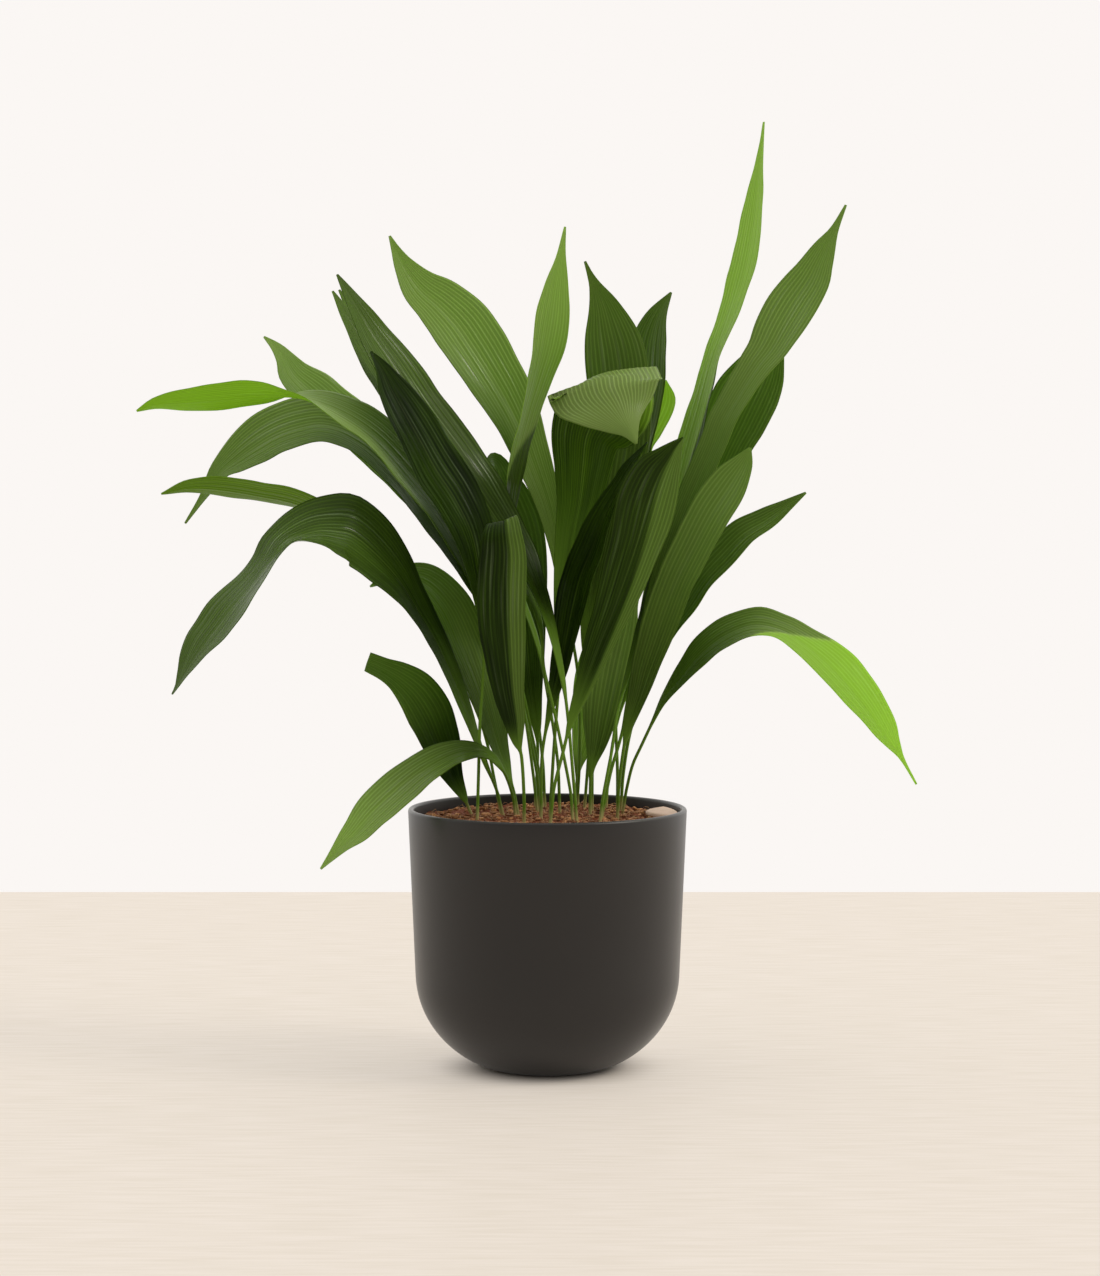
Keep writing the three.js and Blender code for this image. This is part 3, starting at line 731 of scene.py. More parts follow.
@dataclass
class Soil:
    """Coir and bark soil up to 9 mm under the rim, lumpy on top, with loose chips and curled fibres on it.

    Each of waves is a layer of lumps: how fine, its share of the relief and its slant. Each of bends is how far
    and how often the lumps' rows wander. The pairs of the chips and fibres are their least and their most, but
    chip_faces is how small a chip's lower and upper face are.
    """

    pot: Pot
    level: float = 196.0
    gap: float = 0.3
    lump_mm: float = 11.0
    relief: float = 1.6
    rings: int = 84
    wall_steps: int = 3
    waves: tuple[tuple[float, float, float], ...] = (
        (0.45, 0.8, 0.4), (1.0, 0.6, 1.3), (1.9, 0.35, 2.2), (3.7, 0.22, 0.9),
    )
    bends: tuple[tuple[float, float], ...] = ((1.7, 0.6), (1.1, 0.5))
    shade: float = 0.35
    wall_margin: float = 6.0
    chips: int = 1150
    chip_corners: int = 7
    chip_length: tuple[float, float] = (1.6, 4.6)
    chip_width: tuple[float, float] = (0.9, 2.2)
    chip_thickness: tuple[float, float] = (0.35, 0.9)
    chip_edge: tuple[float, float] = (0.72, 1.1)
    chip_bow: tuple[float, float] = (-1.5, 2.5)
    chip_bow_share: float = 0.09
    chip_faces: tuple[float, float] = (0.8, 0.78)
    chip_tilt: float = 0.28
    chip_rise: tuple[float, float] = (0.2, 1.2)
    chip_shade_power: float = 1.4
    fibres: int = 230
    fibre_radius: float = 0.22
    fibre_corners: int = 5
    fibre_steps: int = 8
    fibre_length: tuple[float, float] = (7.0, 17.0)
    fibre_curl: float = 1.5
    fibre_arch: tuple[float, float] = (0.3, 2.6)
    fibre_rise: float = 0.8
    fibre_margin: float = 2.0
    fibre_shade: tuple[float, float] = (0.2, 1.0)
    seed: int = 7

    def height_at(self, x: np.ndarray, y: np.ndarray) -> np.ndarray:
        """Height of the soil's lumps.

        Args:
            x: Places to the right of the axis.
            y: Places behind the axis.

        Returns:
            Height above the pot's foot.
        """
        wave = 2 * math.pi / self.lump_mm
        lumps = np.zeros_like(x)
        (far_along, often_along), (far_cross, often_cross) = self.bends
        for scale, share, slant in self.waves:
            along = wave * scale * (x * math.cos(slant) + y * math.sin(slant))
            cross = wave * scale * (y * math.cos(slant) - x * math.sin(slant))
            bent_along = along + far_along * np.sin(often_along * cross + scale)
            bent_cross = cross + far_cross * np.sin(often_cross * along)
            lumps += share * np.sin(bent_along) * np.sin(bent_cross)
        return self.level + self.relief * lumps

    def build(self, soil: Material, bark: Material, coir: Material) -> None:
        """Builds the body of soil and what lies loose on it.

        Args:
            soil: Finish of the body.
            bark: Finish of the chips.
            coir: Finish of the fibres.
        """
        wall = self.pot.side(self.pot.wall + self.gap, self.level, self.wall_steps)
        inward = np.linspace(wall[-1, 0], 0, self.rings + 1)[1:-1]
        profile = np.concatenate([wall, np.stack([inward, np.full(len(inward), self.level)], 1)])
        points, faces = turned(profile, self.pot.sides)
        top = np.arange(len(points)) >= (len(wall) - 1) * self.pot.sides
        top[-2] = False
        points[top, 2] = self.height_at(points[top, 0], points[top, 1])
        shade = np.zeros_like(points)
        shade[:, 0] = self.shade
        own(make_piece("coir_soil", points, faces, soil, {"bit": shade}), "potting_soil", "soil")
        chance = np.random.default_rng(self.seed)
        own(self.scatter_chips(chance, bark), "potting_soil")
        own(self.scatter_fibres(chance, coir), "potting_soil")

    def spots(self, chance: np.random.Generator, count: int) -> np.ndarray:
        """Random places on the soil, clear of the wall.

        Args:
            chance: The seeded source of chance.
            count: How many places.

        Returns:
            x and y, one row each.
        """
        reach = self.pot.rim_radius - self.pot.wall - self.wall_margin
        radius = reach * np.sqrt(chance.random(count))
        turn = 2 * math.pi * chance.random(count)
        return np.stack([radius * np.cos(turn), radius * np.sin(turn)], 1)

    def scatter_chips(self, chance: np.random.Generator, material: Material) -> Piece:
        """Scatters flat, rough-edged chips of bark.

        Args:
            chance: The seeded source of chance.
            material: The finish.

        Returns:
            One piece with all the chips.
        """
        corners = self.chip_corners
        points, faces, shades = [], [], []
        for x, y in self.spots(chance, self.chips):
            length, width = chance.uniform(*self.chip_length), chance.uniform(*self.chip_width)
            thick = chance.uniform(*self.chip_thickness)
            turn = np.linspace(0, 2 * math.pi, corners, endpoint=False) + chance.uniform(0, 1)
            edge = chance.uniform(*self.chip_edge, corners)
            flat = np.stack([length * edge * np.cos(turn), width * edge * np.sin(turn)], 1)
            bow = self.chip_bow_share * flat[:, 0] ** 2 / length * chance.uniform(*self.chip_bow)
            below, above = self.chip_faces
            sizes = ((below, -thick), (1.0, 0.0), (above, thick))
            layers = [np.column_stack([flat * size, bow + up]) for size, up in sizes]
            body = np.concatenate([*layers, [(0, 0, -thick), (0, 0, thick)]])
            heading, tilt = chance.uniform(0, 2 * math.pi), chance.normal(0, self.chip_tilt)
            body = body @ turn_about_x(tilt).T @ turn_about_z(heading).T
            rise = float(self.height_at(np.array([x]), np.array([y]))[0])
            body += (x, y, rise + chance.uniform(*self.chip_rise))
            start = len(points) * len(body)
            points.append(body)
            shades.append(np.tile((chance.random() ** self.chip_shade_power, 0, 0), (len(body), 1)))
            for i in range(corners):
                j = (i + 1) % corners
                faces.append((start + 3 * corners, start + j, start + i))
                faces.append((start + 3 * corners + 1, start + 2 * corners + i, start + 2 * corners + j))
                for layer in (0, 1):
                    low = start + layer * corners
                    faces.append((low + i, low + j, low + corners + j, low + corners + i))
        own_shade = {"bit": np.concatenate(shades)}
        return make_piece("bark_chips", np.concatenate(points), faces, material, own_shade)

    def scatter_fibres(self, chance: np.random.Generator, material: Material) -> Piece:
        """Scatters thin curled coir fibres.

        Args:
            chance: The seeded source of chance.
            material: The finish.

        Returns:
            One piece with all the fibres.
        """
        reach = self.pot.rim_radius - self.pot.wall - self.fibre_margin
        paths, shades = [], []
        for x, y in self.spots(chance, self.fibres):
            along = np.linspace(-0.5, 0.5, self.fibre_steps + 1)
            length, heading = chance.uniform(*self.fibre_length), chance.uniform(0, 2 * math.pi)
            turn = heading + chance.normal(0, self.fibre_curl) * along
            step = length / self.fibre_steps
            walk = np.cumsum(np.stack([np.cos(turn), np.sin(turn)], 1) * step, 0)
            walk += np.array([x, y]) - walk.mean(0)
            if np.hypot(walk[:, 0], walk[:, 1]).max() >= reach:
                continue
            arch = chance.uniform(*self.fibre_arch) * np.cos(math.pi * along)
            rise = self.height_at(walk[:, 0], walk[:, 1]) + self.fibre_rise + arch
            paths.append(np.column_stack([walk, rise]))
            shades.append(chance.uniform(*self.fibre_shade))
        points, faces, spread = [], [], []
        for path, shade in zip(paths, shades):
            ring, skin = round_cord(path, self.fibre_radius, self.fibre_corners)
            start = len(points) * len(ring)
            points.append(ring)
            faces.extend(tuple(start + corner for corner in face) for face in skin)
            spread.append(np.tile((shade, 0, 0), (len(ring), 1)))
        own_shade = {"bit": np.concatenate(spread)}
        return make_piece("coir_fibres", np.concatenate(points), faces, material, own_shade)


def turn_about_x(angle: float) -> np.ndarray:
    """The 3 by 3 turn about X by an angle in radians."""
    c, s = math.cos(angle), math.sin(angle)
    return np.array([(1, 0, 0), (0, c, -s), (0, s, c)])


def turn_about_z(angle: float) -> np.ndarray:
    """The 3 by 3 turn about Z by an angle in radians."""
    c, s = math.cos(angle), math.sin(angle)
    return np.array([(c, -s, 0), (s, c, 0), (0, 0, 1)])


def round_cord(
    path: np.ndarray, radius: float, corners: int, taper: float = 0.35
) -> tuple[np.ndarray, Faces]:
    """A thin closed tube along a nearly level path.

    Args:
        path: Points of its middle.
        radius: Its radius, which shrinks towards the ends.
        corners: Corners round it.
        taper: How far the ends stay from closing, in radians of the half wave that shapes them.

    Returns:
        The corners and the faces.
    """
    along = np.gradient(path, axis=0)
    along /= np.linalg.norm(along, axis=1)[:, None]
    aside = np.cross(along, (0, 0, 1))
    aside /= np.linalg.norm(aside, axis=1)[:, None]
    above = np.cross(aside, along)
    turn = np.linspace(0, 2 * math.pi, corners, endpoint=False)
    thick = radius * np.sin(np.linspace(taper, math.pi - taper, len(path)))
    circle = np.cos(turn)[:, None], np.sin(turn)[:, None]
    rings = [path[i] + thick[i] * (circle[0] * aside[i] + circle[1] * above[i]) for i in range(len(path))]
    faces = []
    for ring in range(len(path) - 1):
        for i in range(corners):
            j = (i + 1) % corners
            low, high = ring * corners, (ring + 1) * corners
            faces.append((low + i, low + j, high + j, high + i))
    last = (len(path) - 1) * corners
    faces.append(tuple(range(corners))[::-1])
    faces.append(tuple(last + i for i in range(corners)))
    return np.concatenate(rings), faces


@dataclass
class PaleChip:
    """Flat smooth piece of pale bark that lies on the soil by the right wall.

    Each of layers is the outline's share and the share of the thickness at which it lies, from below.
    """

    soil: Soil
    outer_radius: float = 103.0
    half_angle: float = 0.36
    turn: float = 0.08
    inner_reach: float = 78.0
    thickness: float = 4.0
    rise: float = 1.6
    rim_steps: int = 40
    layers: tuple[tuple[float, float], ...] = (
        (0.86, 0.0), (0.97, 0.16), (1.0, 0.5), (0.97, 0.84), (0.86, 1.0), (0.5, 1.06),
    )
    crown: float = 1.08
    shade: float = 0.6

    def build(self, material: Material) -> None:
        """Builds the chip as a rounded slab.

        Args:
            material: The finish.
        """
        arc = np.linspace(-self.half_angle, self.half_angle, self.rim_steps // 2)
        outer = self.outer_radius * np.stack([np.cos(arc), np.sin(arc)], 1)
        across = np.linspace(1, -1, self.rim_steps // 2)[1:-1]
        end = outer[-1]
        inner = np.stack([self.inner_reach + (end[0] - self.inner_reach) * across**2, end[1] * across], 1)
        rim = np.concatenate([outer, inner])
        middle = rim.mean(0)
        base = self.soil.level + self.rise
        rings = [
            np.column_stack([middle + (rim - middle) * share, np.full(len(rim), base + self.thickness * up)])
            for share, up in self.layers
        ]
        count = len(rim)
        points = np.concatenate([*rings, [(*middle, base), (*middle, base + self.crown * self.thickness)]])
        points = points @ turn_about_z(self.turn).T
        faces = []
        for i in range(count):
            j = (i + 1) % count
            faces.append((len(points) - 2, j, i))
            top = (len(rings) - 1) * count
            faces.append((len(points) - 1, top + i, top + j))
            for ring in range(len(rings) - 1):
                low, high = ring * count, (ring + 1) * count
                faces.append((low + i, low + j, high + j, high + i))
        shade = np.zeros_like(points)
        shade[:, 0] = self.shade
        own(make_piece("pale_bark_piece", points, faces, material, {"bit": shade}), "pale_bark", "bark_chip")


@dataclass(frozen=True)
class Leaf:
    """One grown leaf.

    root is x and y where it leaves the soil. stalk holds points up the stalk. blade holds points midway between
    its edges, each x, y, z, half the blade's width and its roll in degrees: at roll 0 the upper face looks at
    the viewer, and more turns it to the right. A sixth number sets the direction of the blade's width instead.
    light is the painted light and shade of its colour, from foot to tip. glow is painted light from behind on
    one side of a slanted line over the leaf: weights for the place across, from -1 to 1, and along, from 0 to 1,
    an offset, and how much. channel is the rise of the edges over the midrib.
    """

    root: tuple[float, float]
    stalk: tuple[tuple[float, ...], ...]
    blade: tuple[tuple[float, ...], ...]
    light: PaintedLight = PaintedLight.DEEP
    glow: tuple[float, float, float, float] = (0.0, 0.0, 0.0, 0.0)
    channel: float = 0.16


LEAVES: tuple[Leaf, ...] = (
    Leaf(  # far left and long, the outer half twisted to show its underside
        (-8, 42),
        ((-12, 42, 231), (-19, 42, 279),),
        (
            (-32, 40, 335, 6, 60), (-55, 32, 391, 20, 60), (-79, 24, 438, 29, 62), (-107, 18, 473, 33, 65),
            (-134, 15, 502, 33, 68), (-164, 14, 521, 30, 70), (-195, 13, 532, 26, 86),
            (-223, 14, 532, 24, 108), (-254, 10, 529, 20, 120), (-285, 6, 526, 15, 122),
            (-308, 2, 523, 8, 120), (-322, 0, 517, 1, 120),
        ),
        PaintedLight.LIT_TIP,
    ),
    Leaf(  # behind it, higher
        (-2, 76),
        ((-4, 78, 235), (-11, 84, 284),),
        (
            (-27, 90, 332, 5, 40), (-39, 95, 363, 9, 42), (-66, 102, 406, 16, 46), (-98, 108, 446, 22, 50),
            (-134, 113, 484, 26, 52), (-161, 116, 511, 28, 53), (-179, 119, 526, 28, 53),
            (-194, 121, 539, 26, 52), (-208, 124, 551, 20, 52), (-216, 126, 563, 12, 52),
            (-223, 127, 572, 7, 52), (-234, 128, 581, 1, 52),
        ),
        PaintedLight.PALE,
    ),
    Leaf(  # arched under the first, its tip hanging
        (-6, 52),
        ((-9, 53, 229), (-19, 55, 277),),
        (
            (-34, 56, 334, 4, 55), (-51, 61, 366, 9, 57), (-74, 65, 405, 15, 57), (-99, 67, 443, 20, 56),
            (-117, 68, 468, 23, 55), (-138, 68, 492, 27, 54), (-160, 69, 507, 30, 53),
            (-182, 70, 513, 31, 52), (-202, 70, 510, 32, 50), (-221, 70, 503, 30, 48),
            (-240, 69, 491, 26, 46), (-255, 68, 479, 19, 46), (-265, 66, 470, 13, 48),
            (-276, 64, 452, 5, 44), (-292, 62, 428, 1, 40),
        ),
        PaintedLight.HALF_LIT,
    ),
    Leaf(  # low and narrow to the left, underside out
        (-37, 34),
        ((-43, 36, 226), (-48, 38, 251),),
        (
            (-56, 40, 277, 4, 75), (-74, 50, 319, 13, 80), (-98, 56, 366, 20, 88), (-130, 56, 404, 23, 97),
            (-166, 44, 431, 24, 104), (-197, 34, 447, 22, 110), (-231, 31, 454, 20, 114),
            (-260, 27, 458, 17, 116), (-285, 24, 458, 11, 117), (-306, 22, 452, 1, 118),
        ),
        PaintedLight.FRESH,
    ),
    Leaf(  # the widest arch, over to the front left and down
        (-35, 18),
        ((-40, 16, 216),),
        (
            (-49, 10, 239, 3, 55), (-56, 0, 260, 5, 58), (-65, -8, 287, 9, 60), (-75, -14, 314, 12, 61),
            (-86, -19, 340, 15, 62), (-98, -25, 362, 18, 62), (-112, -36, 387, 24, 56),
            (-129, -48, 408, 31, 50), (-147, -58, 424, 35, 48), (-160, -64, 428, 36, 52),
            (-174, -69, 429, 35, 57), (-188, -74, 426, 34, 64), (-201, -80, 420, 33, 70),
            (-211, -87, 408, 31, 73), (-223, -95, 391, 30, 69), (-239, -105, 371, 30, 62),
            (-249, -111, 356, 28, 59), (-257, -116, 345, 26, 58), (-265, -121, 332, 19, 60),
            (-272, -126, 318, 9, 62), (-275, -129, 311, 4, 62), (-279, -132, 304, 1, 62),
        ),
        PaintedLight.DEEP,
    ),
    Leaf(  # short arch behind it
        (-23, 16),
        ((-27, 16, 217),),
        (
            (-34, 16, 239, 8, 55), (-42, 17, 269, 16, 55), (-52, 21, 303, 23, 55), (-64, 23, 336, 28, 55),
            (-77, 20, 364, 28, 57), (-95, 18, 383, 24, 60), (-114, 14, 388, 17, 62), (-128, 10, 385, 9, 62),
            (-140, 8, 379, 1, 62),
        ),
        PaintedLight.PALE_TIP,
    ),
    Leaf(  # long and dark, leaning left
        (23, -36),
        ((21, -36, 221), (16, -34, 278),),
        (
            (12, -31, 308, 3, 50), (4, -26, 345, 6, 55), (-6, -16, 376, 11, 58), (-20, -4, 407, 17, 54),
            (-39, 4, 436, 23, 50), (-59, 10, 466, 26, 48), (-80, 14, 495, 26, 46), (-101, 16, 524, 25, 46),
            (-120, 18, 554, 22, 46), (-138, 20, 580, 16, 46), (-152, 21, 603, 9, 46), (-166, 22, 625, 1, 46),
        ),
        PaintedLight.DEEP,
    ),
    Leaf(  # close behind it
        (20, -24),
        ((18, -22, 220), (7, -20, 275), (1, -16, 300), (-3, -8, 317),),
        (
            (-5, 2, 345, 3, 60), (-14, 12, 376, 8, 60), (-34, 23, 411, 16, 55), (-59, 31, 451, 22, 52),
            (-87, 36, 491, 24, 50), (-115, 42, 528, 22, 50), (-139, 50, 561, 17, 50), (-157, 53, 589, 9, 50),
            (-172, 55, 614, 1, 50),
        ),
        PaintedLight.MIDDLE,
    ),
    Leaf(  # and the third of that stack
        (10, 30),
        ((8, 30, 240), (1, 36, 287),),
        (
            (-9, 50, 335, 3, 50), (-26, 68, 379, 5, 50), (-46, 76, 419, 14, 48), (-69, 80, 459, 20, 46),
            (-93, 84, 497, 23, 45), (-116, 86, 531, 21, 45), (-137, 87, 566, 15, 45), (-155, 87, 594, 8, 45),
            (-169, 87, 617, 1, 45),
        ),
        PaintedLight.MIDDLE,
    ),
    Leaf(  # in front of the stack, from the left of the clump
        (-55, -20),
        ((-54, -16, 232), (-53, -12, 271), (-51, -10, 300),),
        (
            (-49, -12, 336, 3, 45), (-50, -16, 368, 9, 45), (-52, -26, 397, 16, 45), (-57, -32, 424, 22, 45),
            (-69, -37, 450, 26, 47), (-83, -42, 472, 27, 48), (-95, -46, 494, 25, 48),
            (-106, -50, 513, 22, 47), (-118, -53, 533, 16, 45), (-126, -55, 548, 8, 45),
            (-135, -58, 561, 1, 45),
        ),
        PaintedLight.DARKEST,
    ),
    Leaf(  # front of the clump, its tip bent over backwards
        (-18, -44),
        ((-18, -46, 216), (-20, -50, 250),),
        (
            (-23, -52, 261, 4, -12), (-26, -55, 279, 9, -15), (-30, -58, 302, 13, -18),
            (-33, -61, 329, 17, -20), (-35, -64, 356, 19.5, -20), (-35, -68, 383, 20, -20),
            (-34, -71, 406, 19, -20), (-35, -70, 423, 16, -20, 0), (-35, -60, 433, 12, -18, 0),
            (-34, -46, 430, 7, -15, 0), (-34, -34, 422, 1, -10, 0),
        ),
        PaintedLight.DARKEST,
        glow=(1.0, 0.0, -0.1, 0.25),
    ),
    Leaf(  # broad pale leaf, leaning back to the left
        (24, 74),
        ((26, 73, 236), (26, 72, 281), (24, 71, 311),),
        (
            (18, 70, 346, 3, 30), (13, 71, 376, 5, 30), (8, 73, 410, 8, 30), (1, 76, 443, 12, 28),
            (-11, 79, 478, 16, 28), (-23, 82, 510, 21, 28), (-36, 86, 536, 25, 28), (-48, 89, 556, 27, 28),
            (-60, 92, 575, 28.5, 28), (-72, 95, 592, 28, 28), (-87, 98, 607, 24, 28),
            (-103, 101, 620, 18, 26), (-117, 104, 638, 9, 24), (-124, 106, 651, 4, 22),
            (-129, 107, 662, 1, 20),
        ),
        PaintedLight.PALE,
    ),
    Leaf(  # upright in the middle, in front of the pale leaf
        (-4, 68),
        ((-8, 67, 233), (-16, 66, 273),),
        (
            (-25, 63, 318, 3, 62), (-31, 57, 367, 5, 64), (-33, 55, 407, 9, 66), (-29, 54, 447, 14, 69),
            (-23, 52, 481, 19, 70), (-14, 50, 515, 22, 72), (-7, 48, 539, 23.5, 68), (0, 46, 565, 24, 60),
            (4, 44, 590, 22, 52), (7, 43, 616, 15, 50), (11, 42, 642, 5.5, 50), (14, 41, 664, 1, 50),
        ),
        PaintedLight.DEEP,
        glow=(-0.5, 10.0, -6.0, 0.55),
    ),
    Leaf(  # short, at the back of the middle
        (-10, 79),
        ((-8, 74, 242),),
        (
            (-9, 75, 264, 4, 5), (-13, 78, 293, 9, 5), (-16, 81, 325, 14, 5), (-19, 86, 357, 18, 5),
            (-22, 90, 390, 22, 5), (-27, 95, 420, 24, 5), (-35, 100, 443, 23, 4), (-42, 104, 460, 19, 2),
            (-45, 109, 471, 15, 0), (-47, 120, 475, 10, 0), (-48, 134, 471, 1, 0),
        ),
        PaintedLight.MIDDLE,
    ),
    Leaf(  # upright, right of the middle
        (36, 58),
        ((36, 59, 237), (34, 60, 286),),
        (
            (31, 62, 334, 4, -10), (37, 64, 382, 10, -12), (45, 66, 431, 18, -14), (54, 66, 471, 24, -15),
            (58, 65, 503, 26, -16), (57, 64, 539, 26, -16), (54, 63, 565, 25, -15), (50, 62, 583, 21, -15),
            (45, 62, 602, 13, -15), (38, 61, 619, 5, -15), (34, 61, 628, 2.5, -15), (30, 60, 638, 1, -15),
        ),
        PaintedLight.FRESH,
    ),
    Leaf(  # behind it, turned away to the right
        (30, 70),
        ((33, 71, 236), (36, 73, 285),),
        (
            (38, 76, 325, 3, -40), (40, 80, 366, 8, -40), (47, 84, 406, 14, -42), (57, 88, 447, 19, -43),
            (66, 92, 483, 22, -44), (74, 95, 516, 23, -45), (79, 98, 546, 23, -45), (82, 101, 576, 20, -45),
            (89, 103, 597, 11, -42), (101, 105, 616, 1, -40),
        ),
        PaintedLight.MIDDLE,
    ),
    Leaf(  # curled over to the front at the top, the flap hanging to the right
        (2, 6),
        ((3, 5, 217), (5, 5, 250), (8, 6, 290),),
        (
            (11, 8, 329, 4, 0, 180), (12, 10, 360, 7, 0, 180), (16, 12, 395, 11, 0, 180),
            (20, 14, 422, 14, 0, 180), (25, 16, 447, 18, 0, 180), (28, 18, 474, 23, 0, 180),
            (31, 18, 497, 29, 0, 182), (41, 12, 516, 40, 0, 188), (44, 3, 537, 46, 0, 213),
            (47, -6, 529, 44, 0, 190), (53, -13, 517, 33, 0, 172), (59, -19, 508, 18, 0, 174),
            (64, -23, 501, 8, 0, 180), (69, -27, 491, 1, 0, 185),
        ),
        PaintedLight.SHADED,
        glow=(0.0, 12.0, -9.4, 0.6),
        channel=-0.2,
    ),
    Leaf(  # furthest back on the right
        (56, 30),
        ((56, 36, 231), (55, 46, 262), (55, 53, 286),),
        (
            (57, 64, 326, 4, -30), (61, 78, 372, 7, -30), (66, 89, 415, 9, -30), (70, 98, 451, 10, -28),
            (76, 106, 489, 11, -28), (83, 111, 504, 12.5, -28), (94, 115, 529, 12.5, -28),
            (97, 118, 545, 1, -20),
        ),
        PaintedLight.BRIGHT,
    ),
    Leaf(  # the tallest, narrow, its face turned far to the left
        (41, -30),
        ((43, -28, 214), (47, -24, 235), (51, -16, 255), (54, -4, 275),),
        (
            (61, 14, 301, 3, -60), (76, 38, 351, 7, -60), (90, 54, 403, 12, -60), (103, 67, 447, 17, -62),
            (114, 76, 491, 20, -64), (124, 82, 529, 20, -70), (133, 86, 562, 19, -73),
            (147, 89, 599, 18, -66), (158, 90, 635, 17, -57), (165, 95, 672, 15, -58),
            (170, 99, 707, 8.5, -58), (174, 102, 735, 3, -58), (176, 104, 754, 1, -58),
        ),
        PaintedLight.DEEP,
        glow=(-1.0, 6.0, -2.8, 0.66),
    ),
    Leaf(  # the big leaf on the right
        (42, -16),
        ((45, -14, 212), (50, -8, 235), (56, 0, 254),),
        (
            (65, 6, 286, 4, -32), (75, 12, 325, 7, -34), (84, 18, 362, 9, -35), (94, 23, 398, 10.5, -36),
            (105, 27, 431, 11.5, -37), (115, 30, 455, 12.5, -37), (131, 36, 490, 13, -38),
            (139, 39, 511, 13.5, -38), (156, 42, 540, 14.5, -38), (167, 44, 557, 16.5, -38),
            (176, 46, 569, 19.5, -38), (187, 50, 589, 23, -38), (198, 54, 607, 23.5, -38),
            (209, 56, 623, 20.5, -37), (216, 58, 637, 15, -37), (223, 59, 651, 9.5, -36),
            (230, 60, 664, 4, -35), (239, 61, 683, 1, -35),
        ),
        PaintedLight.PALE_TIP,
    ),
    Leaf(  # behind the big leaf
        (47, 60),
        ((49, 62, 220), (54, 64, 257),),
        (
            (64, 68, 293, 3, -30), (79, 74, 337, 8, -30), (95, 80, 382, 13, -30), (112, 85, 422, 18, -30),
            (129, 90, 459, 22, -28), (144, 93, 493, 25, -28), (152, 95, 511, 28.5, -28),
            (162, 97, 532, 29, -28), (170, 99, 546, 25.5, -28), (177, 101, 559, 19.5, -28),
            (184, 102, 571, 11, -25), (190, 103, 581, 1, -22),
        ),
        PaintedLight.FRESH,
    ),
    Leaf(  # in front of the big leaf
        (55, -6),
        ((56, -8, 220), (59, -10, 247),),
        (
            (63, -12, 269, 4, -25), (70, -15, 293, 8, -28), (76, -18, 316, 12, -30),
            (83, -20, 338, 14.5, -31), (91, -22, 362, 16.5, -32), (100, -24, 386, 17, -33),
            (112, -26, 411, 18, -34), (126, -28, 438, 19, -34), (141, -30, 461, 17, -34),
            (151, -31, 476, 10, -32), (157, -32, 488, 1, -30),
        ),
        PaintedLight.PALE_TIP,
    ),
    Leaf(  # low on the right, behind
        (59, 52),
        ((61, 50, 226), (66, 48, 258),),
        (
            (75, 46, 291, 3, -38), (84, 45, 318, 6.5, -40), (96, 44, 344, 10.5, -42),
            (110, 43, 366, 13.5, -43), (123, 42, 387, 15.5, -44), (139, 41, 405, 17, -45),
            (155, 40, 421, 15.5, -46), (174, 39, 432, 12, -46), (191, 38, 443, 6.5, -45),
            (206, 37, 453, 1, -45),
        ),
        PaintedLight.EVEN,
    ),
    Leaf(  # long arch to the right
        (60, 34),
        ((63, 32, 215), (68, 29, 236), (75, 26, 252),),
        (
            (84, 21, 272, 2, -60), (92, 16, 289, 5, -58), (106, 9, 310, 11, -56), (120, 2, 328, 16, -57),
            (138, -6, 343, 20, -60), (160, -15, 352, 20.5, -60), (181, -24, 349, 18, -59),
            (200, -32, 339, 20, -56), (218, -40, 325, 24.5, -53), (234, -46, 308, 25, -52),
            (248, -52, 290, 22, -52), (259, -57, 272, 16.5, -52), (266, -60, 260, 9, -52),
            (272, -63, 250, 3, -52), (283, -66, 230, 1, -52),
        ),
        PaintedLight.PALE,
        glow=(1.0, 14.0, -8.26, 0.85),
    ),
    Leaf(  # dark leaf at the front, right of the middle
        (2, -50),
        ((5, -50, 225), (12, -50, 253),),
        (
            (18, -51, 277, 3, -20), (27, -54, 302, 7, -22), (38, -58, 333, 12, -25), (49, -62, 362, 16, -27),
            (59, -67, 391, 20, -28), (67, -71, 416, 22.5, -28), (73, -75, 438, 25, -27),
            (78, -78, 454, 24, -26), (84, -81, 468, 20.5, -26), (91, -83, 479, 13, -25),
            (97, -85, 488, 6, -22), (103, -86, 495, 1, -20),
        ),
        PaintedLight.SHADED,
        glow=(1.0, 1.0, -0.9, 0.25),
    ),
    Leaf(  # beside it, seen nearly edge-on
        (-5, -10),
        ((-5, -9, 219), (-4, -7, 249),),
        (
            (1, -6, 278, 3, -40), (7, -5, 305, 8, -45), (13, -7, 338, 14, -50), (17, -10, 361, 18, -52),
            (23, -14, 387, 20, -54), (32, -19, 410, 20, -56), (41, -25, 434, 18, -62),
            (52, -31, 455, 15, -68), (64, -36, 475, 10, -70), (77, -40, 492, 1, -70),
        ),
        PaintedLight.DARKEST,
    ),
    Leaf(  # low on the left, its end torn off
        (-60, 20),
        (),
        (
            (-66, 20, 210, 3, 30), (-73, 20, 224, 8, 35), (-80, 19, 242, 15, 38), (-86, 18, 260, 20, 40),
            (-93, 16, 278, 23, 42), (-103, 13, 294, 22, 44), (-116, 10, 306, 17, 46), (-129, 7, 314, 12, 46),
            (-142, 5, 320, 10, 46),
        ),
        PaintedLight.HALF_LIT,
    ),
    Leaf(  # lowest arch, over the rim to the front left
        (-25, 6),
        ((-27, 2, 212), (-32, -6, 229),),
        (
            (-39, -15, 242, 4, 55), (-47, -23, 250, 6, 56), (-58, -30, 254, 10, 58), (-70, -35, 253, 15, 58),
            (-85, -39, 247, 19, 57), (-102, -45, 237, 22, 56), (-119, -51, 223, 23, 54),
            (-135, -56, 208, 21, 52), (-148, -61, 193, 15, 50), (-159, -65, 182, 8, 50),
